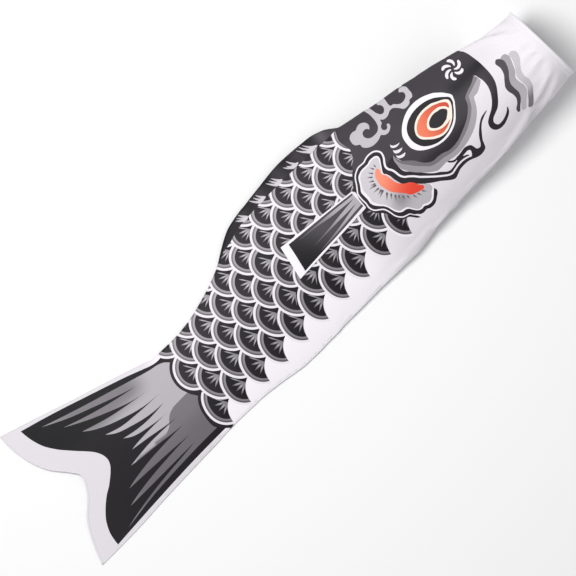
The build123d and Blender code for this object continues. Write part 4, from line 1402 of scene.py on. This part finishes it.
def sew(pattern, name, points, ups, pitch):
    """Copies of the stitch every pitch along a line of points, each facing its up."""
    run = np.concatenate([[0], np.cumsum(np.linalg.norm(np.diff(points, axis=0), axis=1))])

    def along(line, distance):
        return np.array([np.interp(distance, run, line[:, i]) for i in range(3)])

    count = max(int(run[-1] / pitch), 1)
    stitches = []
    for k in range(count):
        here = (k + 0.5) * run[-1] / count
        ends = [along(points, here - 0.5), along(points, here + 0.5)]
        up = along(ups, here)
        way = ends[1] - ends[0]
        way /= np.linalg.norm(way)
        side = np.cross(up, way)
        side /= np.linalg.norm(side)
        up = np.cross(way, side)
        place = Matrix(np.stack([way, side, up, (ends[0] + ends[1]) / 2 * MM], 1).tolist()).to_4x4()
        stitch = pattern.copy()
        stitch.data = pattern.data.copy()
        stitch.data.transform(place)
        stitch.name = f"{name}_{k + 1:03d}"
        bpy.context.scene.collection.objects.link(stitch)
        stitches.append(stitch)
    return stitches


def main():
    build_stage()
    print_tail()
    print_scales()
    print_head()
    drape = Drape()
    drape.simulate()
    printed = satin("printed satin")
    thread = white_thread()
    wire = hoop_metal("spring wire", (0.36, 0.36, 0.38), (0.58, 0.58, 0.6), 900.0, 0.3)
    crimp = hoop_metal("crimp sleeve", (0.5, 0.5, 0.51), (0.72, 0.72, 0.72), 500.0, 0.42)
    for node, metal in (("mouth_hoop", wire), ("hoop_sleeve", crimp)):
        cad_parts[node].data.materials.clear()
        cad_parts[node].data.materials.append(metal)
    pieces = build_panels(drape, printed)
    for side in ("right", "left"):
        body, tail = pieces[f"{side}_body_cloth"], pieces[f"{side}_tail_cloth"]
        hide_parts(f"{side}_front_panel", f"{side}_rear_panel")
        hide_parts(f"{side}_tail_panel")
        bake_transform(body)
        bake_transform(tail)

    seams = {"body": [], "tail": []}
    tip = {"back": -483.6, "belly": -503.2}
    for line, t in (("back", 1.0), ("belly", 0.0)):
        body = build_seam(drape, f"{line}_seam_body", t, SPLIT_X, HEM_BACK_X - 0.5, 1.3, printed)
        tail = build_seam(drape, f"{line}_seam_fork", t, tip[line], SPLIT_X, 1.3, printed)
        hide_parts(f"{line}_seam_front", f"{line}_seam_rear")
        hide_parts(f"{line}_seam_tail")
        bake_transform(body)
        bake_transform(tail)
        seams["body"].append(body)
        seams["tail"].append(tail)

    hem = build_mouth_hem(printed)
    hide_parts("mouth_hem")
    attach(hem, "front")
    pattern = first_stitch(thread)
    angle = np.linspace(0, 2 * np.pi, 720)
    back = 0 * angle + STITCH_BACK
    ring = mouth_ring(back, HEM_SKIN + hem_pucker(back, angle), angle)
    out = mouth_ring(0 * angle, 1.0 + 0 * angle, angle) - mouth_axes()[0]
    hem_stitches = sew(pattern, "hem_stitch", ring, out, 2 * np.pi * 63.7 / HEM_STITCHES)
    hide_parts("hem_stitching")
    for stitch in hem_stitches:
        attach(stitch, "front")

    tail_parts = {}
    for side in ("right", "left"):
        upper = side == "right"
        roll, line = build_tail_hem(drape, f"{side}_tail_roll", upper, printed)
        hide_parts(f"{side}_tail_hem")
        up = np.repeat([[0, 0, 1.0 if upper else -1.0]], len(line), axis=0)
        stitches = sew(pattern, f"{side}_tail_stitch", line, up, TAIL_PITCH)
        for piece in [roll, *stitches]:
            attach(piece, "tail")
        tail_parts[side] = [roll, *stitches]

    fins, heights = build_fins(drape, printed)
    for side in ("right", "left"):
        upper = side == "right"
        cloth, band, tape = (fins[f"{side}_fin_{part}"] for part in ("cloth", "end_band", "root_tape"))
        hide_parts(f"{side}_fin")
        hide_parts(f"{side}_fin_band")
        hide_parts(f"{side}_fin_root")
        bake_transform(cloth)
        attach(band, f"{side}_fin_flap")
        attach(tape, "front")
        sign = 0.04 if upper else -0.04
        rows = [("root", "143.9,16.6 143.1,3 142.3,-11", heights[side][2], "front"),
                ("band", "19.8,29.6 15.8,4 11.2,-21", heights[side][1], f"{side}_fin_flap")]
        stitches = []
        for row, text, height, rider in rows:
            line = outline(text, 2.0, closed=False)
            points = np.concatenate([line, (height(line) + sign)[:, None]], 1)
            up = np.repeat([[0, 0, 1.0 if upper else -1.0]], len(line), axis=0)
            sewn = sew(pattern, f"{side}_fin_{row}_stitch", points, up, FIN_PITCH)
            for stitch in sewn:
                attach(stitch, rider)
            stitches += sewn
    bpy.data.objects.remove(pattern)

    sewn = hem_stitches + [stitch for side in tail_parts for stitch in tail_parts[side][1:]]
    declare()


def declare():
    """Works out the flat size and area of the body and the tail cloth; nothing is done with them."""
    def cut(low, high):
        x = np.arange(low, high, 2.0)
        width = ARCS[True].width(x)
        return (width.max() * MM, (high - low) * MM), width.sum() * 2.0 * MM * MM

    body_flat, body_area = cut(SPLIT_X, HEM_BACK_X)
    tail_flat, tail_area = cut(-484, SPLIT_X)


main()
